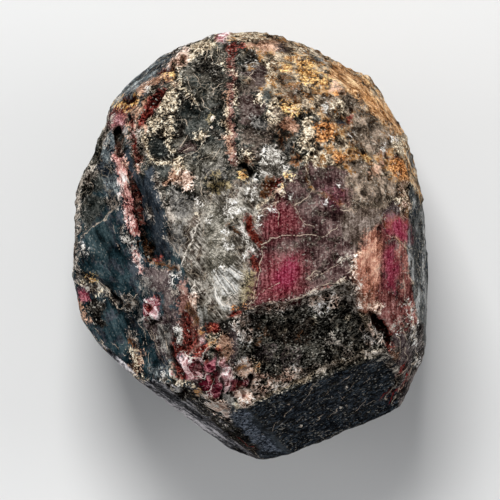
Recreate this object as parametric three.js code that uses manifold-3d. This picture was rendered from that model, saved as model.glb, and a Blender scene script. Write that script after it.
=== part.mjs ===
// A garnet crystal about 27 mm long: a rounded twelve-sided crystal whose flat growth faces are
// stepped, chipped and partly worn away. It grew as one piece, so it is one closed solid.
// Millimetres, +Z up. It lies on its broken back, and the origin is the middle of its box at the
// height of that resting face.

import * as THREE from 'three';
import { mergeVertices } from 'three/addons/utils/BufferGeometryUtils.js';
import Module from 'manifold-3d';

// The three sizes across the crystal, as calipers read them.
const WIDTH_X = 22.2;
const LENGTH_Y = 26.8;
const HEIGHT_Z = 21.0;

// Every face is measured from the heart of the crystal, half its height above the resting face.
const HEART_HEIGHT = HEIGHT_Z / 2;

// A cutting block is much larger than the crystal, so only one of its sides ever meets it.
const BLOCK = 80;

// A face is [tilt from straight up, heading from +X towards +Y, distance from the heart],
// in degrees and millimetres.

// The large growth faces that look up from the lying crystal.
const GROWTH_FACES = {
  purpleWindow: [12, -20, 10.15],
  rightWindow: [45, -14, 11.1],
  rightEdge: [75, 3, 10.95],
  rightHeel: [73, -32, 12.1],
  palePlate: [10, 165, 10.05],
  tealFlank: [50.2, 193.4, 9.5],
  gritFace: [36.7, -60.8, 10.08],
  navyFace: [63.9, -66.6, 10.8],
  navyStrip: [70, -92, 11.46],
  leftHeel: [77, 246.5, 11.08],
};

// The worn, rounded end of the crystal: its faces only survive as low flats.
const CROWN_FLATS = {
  crownMiddle: [30, 85, 10.75],
  crownRight: [33, 42, 11.05],
  crownLeft: [32, 125, 10.4],
  shoulderBack: [55, 75, 11.65],
  shoulderBackRight: [56, 38, 11.3],
  shoulderRight: [58, 12, 11.3],
  shoulderBackLeft: [55, 105, 11.8],
  shoulderLeft: [52, 140, 11.45],
  crownRim: [78, 128, 12.35],
};

// The widest belt of the crystal, listed once round it from +X.
const BELT_FLATS = [
  [88, -1, 10.95],
  [88, 8, 10.9],
  [86, 18, 10.95],
  [84, 33, 11.35],
  [82, 44, 11.75],
  [82, 56, 12.0],
  [82, 71, 12.5],
  [84, 92, 13.02],
  [84, 113, 12.8],
  [86, 129, 12.55],
  [84, 146, 11.9],
  [86, 160, 11.1],
  [90, 177, 11.05],
  [92, 194, 11.3],
  [94, 217, 11.15],
  [92, 230.5, 10.75],
  [100, -67.8, 13.0],
  [95, -21, 12.5],
];

// The underside: six sloping growth faces round the broken flat that the crystal lies on.
const UNDERSIDE_FACES = {
  underRight: [135, 20, 11.0],
  underBack: [135, 80, 11.2],
  underBackLeft: [135, 140, 11.0],
  underLeft: [135, 200, 10.8],
  underFront: [130, 255, 11.7],
  underFrontRight: [135, -45, 11.3],
  restingFace: [180, 0, HEART_HEIGHT],
};

// Growth steps, crevices and broken corners. Inside its outline, each one takes the crystal down
// to a plane that lies below the face. These outlines are in plan, [x, y] from the heart.
const UPPER_STEPS = {
  // The dark strip between the torn edge of the left growth sheet and the ridge of the pale plate.
  darkStrip: {
    plane: [62, 195.2, 8.39],
    outline: [[-7.8, 6.0], [-7.5, 3.8], [-7.0, 1.5], [-6.6, -0.3], [-5.7, -1.0], [-4.2, -2.4],
      [-3.4, -4.6], [-2.5, -5.2], [-5.0, 2.9], [-7.2, 6.5]],
  },
  // A thinner, rougher sheet at the upper left.
  upperLeftSheet: {
    plane: [50.2, 193.4, 9.2],
    outline: [[-7.9, 2.9], [-9.2, 1.7], [-10.4, 0.9], [-11.6, 0.5], [-11.6, 6.0], [-8.7, 7.4],
      [-8.2, 5.4]],
  },
  // The lower left sheet, whose upper edge breaks back in a notch.
  lowerLeftSheet: {
    plane: [50.2, 193.4, 9.25],
    outline: [[-11.6, -1.4], [-9.8, -1.7], [-8.8, -2.4], [-8.1, -3.9], [-7.3, -3.1], [-6.3, -4.1],
      [-5.0, -6.2], [-4.5, -8.6], [-7.9, -7.9], [-11.6, -5.2]],
  },
  // The rough black hollow below the ledge of the purple window.
  gritHollow: {
    plane: [36.7, -60.8, 9.63],
    outline: [[-0.7, -4.4], [0.6, -3.6], [3.0, -3.2], [5.7, -2.2], [6.3, -2.9], [6.9, -4.5],
      [7.9, -6.2], [5.5, -6.9], [3.0, -8.5], [0.6, -9.5], [-0.7, -9.4], [-1.2, -7.7], [-0.4, -5.9]],
  },
  // The broken corner where three growth faces met.
  brokenCorner: {
    plane: [30, 237, 11.2],
    outline: [[-4.6, -3.4], [-2.8, -4.5], [-1.0, -4.8], [-1.6, -6.5], [-0.8, -8.2], [-0.5, -9.6],
      [-1.8, -10.3], [-3.5, -9.4], [-4.2, -7.9], [-5.0, -6.2]],
  },
  // A crevice down the right-hand window face.
  rightCrevice: {
    plane: [45, -14, 10.3],
    outline: [[7.1, -3.8], [7.5, -3.9], [8.4, -5.3], [8.6, -6.0], [8.1, -6.0], [7.4, -4.8]],
  },
  // A slit in the left shoulder.
  leftSlit: {
    plane: [52, 140, 10.7],
    outline: [[-8.5, 7.4], [-8.1, 7.4], [-8.1, 5.7], [-8.4, 5.7]],
  },
  // A pit near the middle of the crown.
  crownPit: {
    plane: [30, 85, 10.0],
    outline: [[-0.8, 5.1], [0.0, 4.9], [-0.1, 4.5], [-0.7, 4.6]],
  },
};

const LOWER_STEPS = {
  backSheet: {
    plane: [135, 80, 10.8],
    outline: [[-4.0, 6.0], [1.5, 5.2], [3.2, 8.2], [2.4, 11.0], [-1.0, 14.0], [-6.0, 12.0]],
  },
  leftSheet: {
    plane: [135, 200, 10.35],
    outline: [[-12.0, -3.0], [-7.5, -4.2], [-5.2, -1.5], [-6.4, 1.2], [-8.8, 2.2], [-12.0, 1.5]],
  },
  frontRightSheet: {
    plane: [135, -45, 10.9],
    outline: [[3.5, -11.0], [6.6, -9.5], [7.5, -6.2], [10.5, -4.4], [12.0, -8.0], [7.0, -13.0]],
  },
};

// On the sides an outline is [distance to the left along the face, height above the heart] as
// seen by someone who looks at the crystal against the heading.
const SIDE_STEPS = {
  leftHollow: {
    heading: 160,
    plane: [86, 160, 10.7],
    outline: [[-4.5, -1.5], [-1.5, -3.1], [2.2, -2.3], [2.6, 1.9], [-0.5, 3.5], [-4.2, 2.5]],
  },
  rightHollow: {
    heading: 0,
    plane: [88, -1, 10.7],
    outline: [[-2.5, -4.5], [0.5, -5.3], [2.8, -2.5], [1.6, 0.9], [-1.8, 0.1]],
  },
};

const wasm = await Module();
wasm.setup();

// The outward direction of a face.
function normalOf([tilt, heading]) {
  const polar = THREE.MathUtils.degToRad(tilt);
  const azimuth = THREE.MathUtils.degToRad(heading);
  return new THREE.Vector3(
    Math.sin(polar) * Math.cos(azimuth),
    Math.sin(polar) * Math.sin(azimuth),
    Math.cos(polar),
  );
}

// A closed three.js geometry as a solid that can be cut.
function solidOf(geometry) {
  geometry.deleteAttribute('normal');
  geometry.deleteAttribute('uv');
  const merged = mergeVertices(geometry);
  const vertProperties = new Float32Array(merged.attributes.position.array);
  const triVerts = new Uint32Array(merged.index.array);
  return new wasm.Manifold(new wasm.Mesh({ numProp: 3, vertProperties, triVerts }));
}

// A large block with one side on the face's plane. side is -1 for the block that lies inside the
// face, towards the heart, and +1 for the block outside it.
function blockAtFace(face, side) {
  const normal = normalOf(face);
  const distance = face[2];
  const turn = new THREE.Quaternion().setFromUnitVectors(new THREE.Vector3(0, 0, 1), normal);
  const centre = normal.clone().multiplyScalar(distance + (side * BLOCK) / 2);
  const geometry = new THREE.BoxGeometry(BLOCK, BLOCK, BLOCK);
  geometry.applyQuaternion(turn);
  geometry.translate(centre.x, centre.y, centre.z);
  return solidOf(geometry);
}

// The outline pushed half a block along Z, from the given height.
function prismOf(outline, height) {
  const shape = new THREE.Shape(outline.map(([x, y]) => new THREE.Vector2(x, y)));
  const geometry = new THREE.ExtrudeGeometry(shape, { depth: BLOCK / 2, bevelEnabled: false });
  geometry.translate(0, 0, height);
  return geometry;
}

// The prism of a side step, which runs outwards from the heart along its heading.
function sidePrismOf(outline, heading) {
  const outwards = normalOf([90, heading]);
  const up = new THREE.Vector3(0, 0, 1);
  const sideways = new THREE.Vector3().crossVectors(up, outwards);
  const geometry = prismOf(outline, 0);
  geometry.applyMatrix4(new THREE.Matrix4().makeBasis(sideways, up, outwards));
  return geometry;
}

// Takes away what lies inside the prism and outside the step's plane.
function cutStep(crystal, prism, plane) {
  const waste = solidOf(prism).intersect(blockAtFace(plane, 1));
  return crystal.subtract(waste);
}

function growCrystal() {
  const faces = [
    ...Object.values(GROWTH_FACES),
    ...Object.values(CROWN_FLATS),
    ...BELT_FLATS,
    ...Object.values(UNDERSIDE_FACES),
  ];
  let crystal = blockAtFace(faces[0], -1);
  for (const face of faces.slice(1)) {
    crystal = crystal.intersect(blockAtFace(face, -1));
  }
  for (const { outline, plane } of Object.values(UPPER_STEPS)) {
    crystal = cutStep(crystal, prismOf(outline, 0), plane);
  }
  for (const { outline, plane } of Object.values(LOWER_STEPS)) {
    crystal = cutStep(crystal, prismOf(outline, -BLOCK / 2), plane);
  }
  for (const { heading, outline, plane } of Object.values(SIDE_STEPS)) {
    crystal = cutStep(crystal, sidePrismOf(outline, heading), plane);
  }
  return crystal;
}

// The finished solid as a geometry of the three caliper sizes, standing on z = 0.
function crystalGeometry() {
  const mesh = growCrystal().getMesh();
  const geometry = new THREE.BufferGeometry();
  geometry.setAttribute('position', new THREE.BufferAttribute(mesh.vertProperties, 3));
  geometry.setIndex(new THREE.BufferAttribute(mesh.triVerts, 1));
  geometry.computeBoundingBox();
  const { min, max } = geometry.boundingBox;
  geometry.translate(-(min.x + max.x) / 2, -(min.y + max.y) / 2, -min.z);
  geometry.scale(
    WIDTH_X / (max.x - min.x),
    LENGTH_Y / (max.y - min.y),
    HEIGHT_Z / (max.z - min.z),
  );
  return geometry;
}

const garnetStone = new THREE.MeshStandardMaterial({
  color: 0x4a3a3c,
  roughness: 0.45,
  metalness: 0,
});

const crystal = new THREE.Mesh(crystalGeometry(), garnetStone);
crystal.name = 'garnet_crystal';

const model = new THREE.Group();
model.add(crystal);

export default model;
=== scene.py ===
# %% [markdown]
# # A garnet crystal, finished in Blender
# A garnet grows as a twelve-sided crystal with flat faces. This one is about 27 mm long. One end
# is worn round and stained with rust, the other keeps its flat faces: a teal flank, a pale bruised
# plate, a purple window that glows crimson where the stone is clear, a black gritty hollow and a
# navy face below it. The solid comes from the CAD frame. Here it gets its worn edges, its relief
# and its skin. Lengths are in millimetres, except where Blender itself is given metres.

# %% Load the frame
import math
from collections import defaultdict, namedtuple
from statistics import NormalDist

import bmesh
import bpy
import numpy as np
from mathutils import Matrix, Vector, noise


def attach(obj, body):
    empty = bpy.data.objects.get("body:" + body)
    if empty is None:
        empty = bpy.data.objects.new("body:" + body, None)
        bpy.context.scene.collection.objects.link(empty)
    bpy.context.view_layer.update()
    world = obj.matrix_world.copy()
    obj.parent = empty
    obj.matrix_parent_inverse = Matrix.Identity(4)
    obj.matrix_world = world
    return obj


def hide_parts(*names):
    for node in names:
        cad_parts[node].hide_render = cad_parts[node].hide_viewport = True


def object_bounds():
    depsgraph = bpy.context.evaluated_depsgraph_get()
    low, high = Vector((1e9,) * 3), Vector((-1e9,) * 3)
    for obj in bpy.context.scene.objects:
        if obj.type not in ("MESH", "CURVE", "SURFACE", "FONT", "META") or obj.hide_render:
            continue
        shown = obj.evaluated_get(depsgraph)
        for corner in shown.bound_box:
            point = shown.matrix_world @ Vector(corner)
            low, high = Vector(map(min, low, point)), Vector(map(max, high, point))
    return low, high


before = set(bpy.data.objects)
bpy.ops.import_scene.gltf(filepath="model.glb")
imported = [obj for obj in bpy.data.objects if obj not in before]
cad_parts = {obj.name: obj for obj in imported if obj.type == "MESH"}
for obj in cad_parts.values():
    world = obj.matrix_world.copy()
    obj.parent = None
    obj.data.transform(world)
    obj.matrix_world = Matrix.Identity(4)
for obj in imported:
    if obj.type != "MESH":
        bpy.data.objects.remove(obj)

MM = 0.001
NODE = "garnet_crystal"
cad_low, cad_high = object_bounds()
print("crystal, mm:", [round(side / MM, 2) for side in cad_high - cad_low])

# %% [markdown]
# ## Camera
# The stone lies on its back and the eye looks straight down on it, with the worn end away from the
# viewer. A wide lens close by would swell the middle of the stone, and a parallel view would lose
# all depth, so a long lens looks from almost a metre away. Its length is worked out from the width
# of view that is wanted at the stone's widest belt.

# %% Camera
EYE_HEIGHT = 0.9
AIM_X = -0.08 * MM
AIM_Y = -0.22 * MM
VIEW_WIDTH = 31.25 * MM
BELT_HEIGHT = 9 * MM
SENSOR = 36.0
SIGHT = 10.0

camera_data = bpy.data.cameras.new("eye")
camera_data.sensor_width = SENSOR
camera_data.lens = SENSOR * (EYE_HEIGHT - BELT_HEIGHT) / VIEW_WIDTH
camera_data.clip_end = SIGHT
camera = bpy.data.objects.new("eye", camera_data)
camera.location = (AIM_X, AIM_Y, EYE_HEIGHT)
bpy.context.collection.objects.link(camera)
bpy.context.scene.camera = camera
print("lens, mm:", round(camera_data.lens))

# %% [markdown]
# ## Light
# A large soft lamp beyond the worn end is the key, and two weaker ones graze the sides, so the
# faces that slope towards the viewer fall into shade, as they do on a dark stone. A small hard
# lamp would burn white spots into the crust and hide its colours.

# %% Lamps
LAMPS = {
    "key_lamp": ((-0.06, 0.3, 0.4), 0.2, 2.45),
    "left_lamp": ((-0.45, 0.05, 0.22), 0.25, 0.7),
    "right_lamp": ((0.45, 0.05, 0.22), 0.25, 0.8),
}
SKY_COLOUR = (0.92, 0.94, 1.0, 1.0)
SKY_STRENGTH = 0.26


def soft_lamp(name, place, size, watts):
    """A square area lamp that faces the middle of the crystal."""
    data = bpy.data.lights.new(name, "AREA")
    data.size = size
    data.energy = watts
    lamp = bpy.data.objects.new(name, data)
    lamp.location = place
    aim = Vector((0, 0, cad_high.z / 2)) - lamp.location
    lamp.rotation_euler = aim.to_track_quat("-Z", "Y").to_euler()
    bpy.context.collection.objects.link(lamp)


for name, (place, size, watts) in LAMPS.items():
    soft_lamp(name, place, size, watts)
world = bpy.data.worlds.new("studio")
world.use_nodes = True
sky = world.node_tree.nodes["Background"]
sky.inputs["Color"].default_value = SKY_COLOUR
sky.inputs["Strength"].default_value = SKY_STRENGTH
bpy.context.scene.world = world
bpy.context.scene.view_settings.view_transform = "Standard"
print("lamps:", list(LAMPS))

# %% [markdown]
# ### Floor
# The stone rests on a plain pale floor. A backdrop that bends up behind it would stand in the way
# of the views from the side, so the floor is one flat grid, large enough to fill every view.

# %% Floor
FLOOR_SIZE = 6.0
FLOOR_COLOUR = (0.72, 0.72, 0.71, 1.0)
FLOOR_ROUGHNESS = 0.9

floor_mesh = bmesh.new()
bmesh.ops.create_grid(floor_mesh, x_segments=1, y_segments=1, size=FLOOR_SIZE / 2)
floor_data = bpy.data.meshes.new("floor")
floor_mesh.to_mesh(floor_data)
floor_mesh.free()
floor = bpy.data.objects.new("floor", floor_data)
bpy.context.collection.objects.link(floor)
floor_paint = bpy.data.materials.new("pale_floor")
floor_paint.use_nodes = True
floor_shader = floor_paint.node_tree.nodes["Principled BSDF"]
floor_shader.inputs["Base Color"].default_value = FLOOR_COLOUR
floor_shader.inputs["Roughness"].default_value = FLOOR_ROUGHNESS
floor_data.materials.append(floor_paint)
print("floor, m:", FLOOR_SIZE)

# %% [markdown]
# ## A fine skin over the flat solid
# The CAD solid is a few hundred flat triangles. To carry relief it needs a fine, even mesh.
# Subdividing would leave long thin triangles, so a copy of it is merged and remeshed into small
# even cells instead. This stage works in millimetres, because a remesh doesn't like metres this
# small.

# %% Reading and making meshes
MERGE_WITHIN = 0.001


def merged_copy(node):
    """The node's triangles as one closed mesh, in millimetres."""
    shell = bmesh.new()
    shell.from_mesh(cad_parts[node].data)
    bmesh.ops.scale(shell, vec=(1 / MM, 1 / MM, 1 / MM), verts=shell.verts)
    bmesh.ops.remove_doubles(shell, verts=shell.verts, dist=MERGE_WITHIN)
    data = bpy.data.meshes.new(node + "_merged")
    shell.to_mesh(data)
    shell.free()
    return data


def rows_of(items, vector):
    """One vector of each of a mesh's items, as rows of x, y, z."""
    flat = np.empty(len(items) * 3)
    items.foreach_get(vector, flat)
    return flat.reshape(-1, 3)


def applied(thing):
    """A new mesh with the thing's modifiers applied."""
    graph = bpy.context.evaluated_depsgraph_get()
    return bpy.data.meshes.new_from_object(thing.evaluated_get(graph))


coarse = merged_copy(NODE)
cad_points = rows_of(coarse.vertices, "co")
print("corners of the CAD solid:", len(cad_points))

# %% Remesh a copy
CELL = 0.14

blank = bpy.data.objects.new("blank", coarse)
bpy.context.collection.objects.link(blank)
remesh = blank.modifiers.new("cells", "REMESH")
remesh.mode = "VOXEL"
remesh.voxel_size = CELL
blank.data = applied(blank)
blank.modifiers.clear()
print("fine cells:", len(blank.data.polygons))

# %% [markdown]
# ### Worn edges
# A tumbled stone loses its sharp edges first. A bevel would give every edge one width, but this
# stone's round end has been worn most and its middle least, so the edges are worn by smoothing,
# held back by a weight at each point. Then the steep sides, which carry less detail, are thinned
# out.

# %% Wear and thin
WEAR_PASSES = 16
WEAR_STEPS = 10
LEAST_WEAR = 0.12
BELLY_WEAR = 0.35
BELLY = (9.0, 6.0)
WORN_END_Y = (3.0, 7.5)
WORN_END_Z = (4.0, 9.0)
KEPT_SHARE = 0.71
THIN_BELOW = 0.1
THIN_WEIGHT = 1000.0


def smoothstep(low, high, value):
    """0 below low, 1 above high, and a smooth ramp between them."""
    ramp = np.clip((value - low) / (high - low), 0, 1)
    return ramp * ramp * (3 - 2 * ramp)


across, height = rows_of(blank.data.vertices, "co")[:, 1:].T
extra = (1 - LEAST_WEAR) * smoothstep(*WORN_END_Y, across) * smoothstep(*WORN_END_Z, height)
wear = LEAST_WEAR + extra
wear = np.maximum(wear, BELLY_WEAR * smoothstep(*BELLY, height))
group = blank.vertex_groups.new(name="wear")
for step in range(1, WEAR_STEPS + 1):
    chosen = np.nonzero(np.ceil(wear * WEAR_STEPS) == step)[0]
    group.add(chosen.tolist(), step / WEAR_STEPS, "REPLACE")
smooth = blank.modifiers.new("wear", "SMOOTH")
smooth.iterations = WEAR_PASSES
smooth.vertex_group = "wear"
steep = np.nonzero(rows_of(blank.data.vertex_normals, "vector")[:, 2] < THIN_BELOW)[0]
blank.vertex_groups.new(name="steep").add(steep.tolist(), 1.0, "REPLACE")
thin = blank.modifiers.new("thin", "DECIMATE")
thin.ratio = KEPT_SHARE
thin.vertex_group = "steep"
thin.vertex_group_factor = THIN_WEIGHT
stone = applied(blank)
bpy.data.objects.remove(blank)
points = rows_of(stone.vertices, "co")
normals = rows_of(stone.vertex_normals, "vector")
stone.calc_loop_triangles()
print("triangles:", len(stone.loop_triangles))

# %% [markdown]
# ## Where each skin lies
# Each flat face wears one skin. A point belongs to the face whose plane it lies closest to, and
# the margin by which that plane wins over the next one is the distance in from the face's edge. So
# each skin gets a signed distance in millimetres, positive inside, which keeps its border sharp
# however coarse the cells are. Painting the triangles one by one would leave saw-toothed borders.
# Neighbouring faces meet at a slant, so the margin is divided by the sine of a usual one to give a
# distance along the surface. A face is named by its tilt from straight up and its heading, in
# degrees.

# %% Faces and their skins
SKIN_FACES = {
    "crown": [(30, 85), (32, 125), (55, 105), (52, 140), (84, 113), (86, 160), (135, 140)],
    "rust": [(55, 75), (33, 42), (56, 38), (58, 12), (86, 18), (84, 33), (82, 44), (82, 56),
             (82, 71), (84, 92), (135, 80)],
    "teal": [(50.2, 193.4), (62, 195), (92, 194), (94, 217), (90, 177), (135, 200)],
    "frost": [(78, 128), (86, 129), (84, 146)],
    "steel": [(75, 3), (88, -1), (88, 8)],
    "keel": [(77, 246.5), (92, 230.5)],
    "slate": [(70, -92)],
    "ash": [(10, 165)],
    "purple": [(12, -20), (135, 20)],
    "salmon": [(45, -14)],
    "heel": [(73, -32), (95, -21), (100, -67.8)],
    "grit": [(36.7, -60.8), (135, -45), (180, 0)],
    "navy": [(63.9, -66.6), (130, 255)],
}
SLANT_SINE = 0.6


def face_margin(tilt, heading):
    """How far each point lies above the face's plane: zero on the face, negative elsewhere."""
    polar = math.radians(tilt)
    azimuth = math.radians(heading)
    outward = np.array([
        math.sin(polar) * math.cos(azimuth),
        math.sin(polar) * math.sin(azimuth),
        math.cos(polar),
    ])
    return points @ outward - (cad_points @ outward).max()


margins = {
    skin: np.max([face_margin(*face) for face in faces], axis=0)
    for skin, faces in SKIN_FACES.items()
}
depth = {}
for skin, margin in margins.items():
    rivals = [other for name, other in margins.items() if name != skin]
    depth[skin] = (margin - np.max(rivals, axis=0)) / SLANT_SINE
for skin, inside in depth.items():
    print(skin, "covers", f"{np.mean(inside > 0):.0%}")

# %% [markdown]
# ## Marks laid out one by one
# Over the skins lie the marks of one stone's life: bruises, torn growth sheets, chips, crevices,
# rust. Noise alone would make a likely stone, but not this one, so they are laid out in plan, in
# millimetres from the middle, as a restorer would chart them. A patch is an outline, a stroke is a
# line with a width, and a spot is a disc. Each gives a signed distance, positive inside. Where a
# finish only dusts the surface, that distance is held down to a small most, so that the crumbling
# border eats holes into all of it.

# %% Patches, strokes and spots
def segment_gaps(plan, corners):
    """For each segment between the corners, its direction and each point's offset from it."""
    for start, end in zip(corners[:-1], corners[1:]):
        along = end - start
        share = np.clip((plan - start) @ along / (along @ along), 0, 1)
        yield along, plan - start - share[:, None] * along


def line_distance(plan, corners):
    """The distance from each point to the line through the corners."""
    return np.min([np.hypot(*gap.T) for _, gap in segment_gaps(plan, corners)], axis=0)


def patch(*corners):
    """A filled outline."""
    ring = np.array(corners + corners[:1])

    def signed_distance(plan):
        inside = np.zeros(len(plan), dtype=bool)
        for (x1, y1), (x2, y2) in zip(ring[:-1], ring[1:]):
            spans = (y1 > plan[:, 1]) != (y2 > plan[:, 1])
            if spans.any():
                crossing = x1 + (plan[:, 1] - y1) * (x2 - x1) / (y2 - y1)
                inside ^= spans & (plan[:, 0] < crossing)
        distance = line_distance(plan, ring)
        return np.where(inside, distance, -distance)

    return signed_distance


def stroke(width, *corners):
    """A line of the given width."""
    line = np.array(corners)
    return lambda plan: width / 2 - line_distance(plan, line)


def spots(radius, *centres):
    """Discs of one size."""
    middles = np.array(centres)

    def signed_distance(plan):
        gaps = [np.hypot(*(plan - middle).T) for middle in middles]
        return radius - np.min(gaps, axis=0)

    return signed_distance


samples = np.array([(0.0, 0.0), (1.0, 0.0)])
print("half a millimetre of spot, at its middle and 1 mm off:", spots(0.5, (0, 0))(samples))

# %% Laying them on
HAIR_WIDTH = 0.053
marks = defaultdict(list)
hairs = defaultdict(list)


def mark(finish, *shapes, most=1.0):
    """Lays shapes in one finish on the stone."""
    marks[finish].append((most, shapes))


def hair(shade, *lines, width=HAIR_WIDTH):
    """Lays hair lines of one shade on the stone."""
    hairs[shade].extend((width, np.array(line)) for line in lines)


def count_marks(area):
    """Prints how much has been laid out once an area is done."""
    laid = sum(len(shapes) for layers in marks.values() for _, shapes in layers)
    lines = sum(len(kept) for kept in hairs.values())
    print(area, "done, shapes so far:", laid, "hair lines so far:", lines)


# %% [markdown]
# ### The far rim and the broken left shoulder
# The worn end breaks down at its left into a steep band of blue-grey sheets. Dark red slits open
# in it, ochre lines them, and a string of pink grains follows the torn edge down to the flank.

# %% Marks on the left shoulder
mark("frost",
     patch((-7.6, 9.8), (-6.9, 11.1), (-5, 12.2), (-4.5, 11.9), (-5, 11.2), (-5.9, 10.5),
           (-6.8, 9.9)), patch((-6, 10.1), (-5.5, 10.35), (-5.2, 10.2), (-5.5, 9.85)),
     stroke(0.34, (-7.65, 8.1), (-7.3, 8.7), (-6.8, 9.3), (-6.3, 9.8)),
     stroke(0.3, (-7.78, 7.5), (-7.78, 6.8), (-7.65, 6)))
mark("peach", stroke(0.34, (-6.9, 9.6), (-6.2, 10.15), (-5.5, 10.4), (-4.8, 10.35), (-4.65, 10)),
     stroke(0.3, (-7.1, 8), (-6.85, 8.6), (-6.4, 9.1)),
     stroke(0.3, (-7.9, 8), (-7.6, 8.4), (-7.2, 8.7)),
     stroke(0.2, (-7.75, 7.7), (-7.5, 7.4), (-7.5, 7)),
     stroke(0.3, (-7, 7.7), (-6.75, 7.6), (-6.6, 7)))
mark("crest", stroke(0.25, (-5.2, 12.15), (-4.2, 12.7), (-3.4, 12.95), (-2.6, 13.1)),
     stroke(0.3, (-9.2, 6.6), (-9.1, 7.4), (-8.7, 8.5), (-8.2, 9.5)),
     stroke(0.12, (-7.1, 7), (-6.95, 6.4), (-6.6, 5.8)), most=0.06)
mark("wax", patch((-4.9, 11.4), (-4.3, 11.9), (-3.95, 11.8), (-3.9, 11.2), (-4.5, 11)), most=0.1)
mark("plum", stroke(0.3, (-4.7, 12.15), (-4.2, 12.2), (-3.8, 11.95)), most=0.05)
mark("cream",
     patch((-5.1, 11.3), (-4.3, 11.7), (-3.7, 12.3), (-3.1, 12.6), (-2.9, 12.95), (-2.4, 12.8),
           (-2.6, 12.1), (-3.2, 11.9), (-3.5, 11.4), (-4.1, 11.05), (-4.7, 10.8)),
     patch((-4.9, 11.4), (-4.3, 11.9), (-3.95, 11.9), (-3.9, 11.2), (-4.4, 10.9), (-4.9, 10.9)),
     most=0.4)
mark("cream",
     patch((-4.75, 10.4), (-4.6, 9.6), (-4.65, 8.7), (-4.9, 8.1), (-5.2, 7.5), (-5.9, 7.2),
           (-6.4, 7.5), (-6.1, 8), (-5.6, 8.5), (-5.3, 9.2), (-5, 9.8)), most=0.03)
mark("cream",
     stroke(0.16, (-4.7, 10.6), (-4.7, 9.8), (-4.85, 8.9), (-5.05, 8.1), (-4.95, 7.3), (-4.9, 6.4)),
     stroke(0.14, (-6.3, 7.7), (-5.8, 8.3), (-5.4, 8.9)), stroke(0.2, (-6.9, 6.9), (-6.6, 6.4)),
     stroke(0.2, (-6.4, 6.9), (-6, 7.25), (-5.4, 7.3), (-5.1, 6.9), (-5.05, 6.3), (-4.8, 5.8)),
     stroke(0.2, (-6.5, 6.9), (-6.6, 6.2), (-6.3, 5.6), (-5.9, 5.3), (-5.4, 5.25), (-4.9, 5.05)),
     spots(0.13, (-6.3, 9.8), (-5.8, 8.95), (-7.35, 7.15), (-7.05, 5.65)))
mark("wax", stroke(0.36, (-5.1, 11.2), (-4.6, 11.7), (-4, 12.1)), most=0.2)
mark("white", spots(0.12, (-6.35, 9.75), (-7.35, 7.15)), stroke(0.1, (-3, 12.95), (-2.4, 13.12)),
     stroke(0.1, (-4.6, 12.35), (-4, 12.75)))
mark("blush",
     stroke(0.66, (-8.3, 5.5), (-8.15, 4.8), (-7.95, 4.2), (-7.7, 3.4), (-7.5, 2.8), (-7.35, 2.2),
            (-7.25, 1.5), (-7.15, 0.9)),
     stroke(0.2, (-7.4, 0.1), (-7.2, -0.5), (-7.1, -1.1), (-6.9, -1.7)), most=0.25)
mark("speckled",
     stroke(0.34, (-7.95, 5.2), (-7.7, 4.5), (-7.35, 3.8), (-7.1, 3.2), (-7, 2.6), (-6.95, 1.9),
            (-6.9, 1.3)),
     stroke(0.36, (-7.35, 7.9), (-7.3, 7.3), (-7.3, 6.7), (-7.2, 6.2), (-7, 5.6), (-6.95, 4.9)),
     stroke(0.3, (-8.3, 6.9), (-8.25, 6.3), (-8.2, 5.7)))
mark("blood",
     patch((-7.15, 7.3), (-7, 7.9), (-6.6, 8.6), (-6.2, 9.2), (-5.7, 9.6), (-5.15, 9.65),
           (-5.35, 9.1), (-5.9, 8.5), (-6.3, 8), (-6.7, 7.5)),
     patch((-8.65, 8.2), (-8.5, 8.7), (-8.1, 9.2), (-7.2, 9.6), (-7.1, 9.2), (-7.6, 8.6),
           (-7.8, 8.1)), stroke(0.26, (-5.6, 10.6), (-5.3, 10.85), (-4.85, 10.95)),
     stroke(0.14, (-7.7, 4.8), (-7.45, 4.2), (-7.2, 3.6), (-6.95, 2.8), (-6.9, 2), (-6.8, 1.2)),
     stroke(0.14, (-7.4, 7.8), (-7.3, 7), (-7.25, 6.3), (-7.05, 5.6)),
     spots(0.14, (-7.1, 5.3), (-7.15, 2.3)))
mark("rose", patch((-8.7, 7.6), (-8.6, 8.3), (-8.2, 8.5), (-7.9, 8), (-8.1, 7.45), (-8.6, 7.45)),
     most=0.1)
mark("pink", spots(0.1, (-8.4, 7.9), (-8.2, 7.6)),
     patch((-2.15, 12.95), (-1.7, 13.25), (-1.3, 13.2), (-1.35, 12.85), (-1.7, 12.65),
           (-2.05, 12.7)))
mark("pit", patch((-6.05, 9), (-5.75, 9.45), (-5.35, 9.5), (-5.5, 9.15), (-5.85, 8.85)),
     stroke(0.16, (-5.5, 10.7), (-5.1, 10.9)),
     stroke(0.2, (-7.95, 9.05), (-7.6, 9.2), (-7.25, 9.45)),
     stroke(0.26, (-8.25, 7.25), (-8.2, 6.7)),
     stroke(0.16, (-8.25, 6.6), (-8.15, 6.1), (-8.15, 5.7)), stroke(0.12, (-6.6, 8), (-6.35, 8.3)),
     spots(0.1, (-7.4, 6.75), (-7, 5.75), (-7, 5.35), (-7.2, 2.1), (-4.75, 10.6)))
mark("scarlet", stroke(0.12, (-6.7, 8.2), (-6.4, 8.6)), stroke(0.1, (-6.15, 8.6), (-5.9, 8.9)),
     spots(0.09, (-6.9, 7.7), (-8.3, 8.7), (-7.5, 8.75), (-7.3, 6.4)))
mark("ochre", patch((-5.3, 10.55), (-5, 10.75), (-4.75, 10.6), (-5, 10.45)),
     stroke(0.14, (-8.4, 8.85), (-8.1, 8.95), (-7.8, 8.85), (-7.5, 8.95), (-7.15, 9.3)),
     stroke(0.12, (-8.1, 8.9), (-8.05, 8.55), (-7.8, 8.45), (-7.75, 8.8)), most=0.12)
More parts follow.
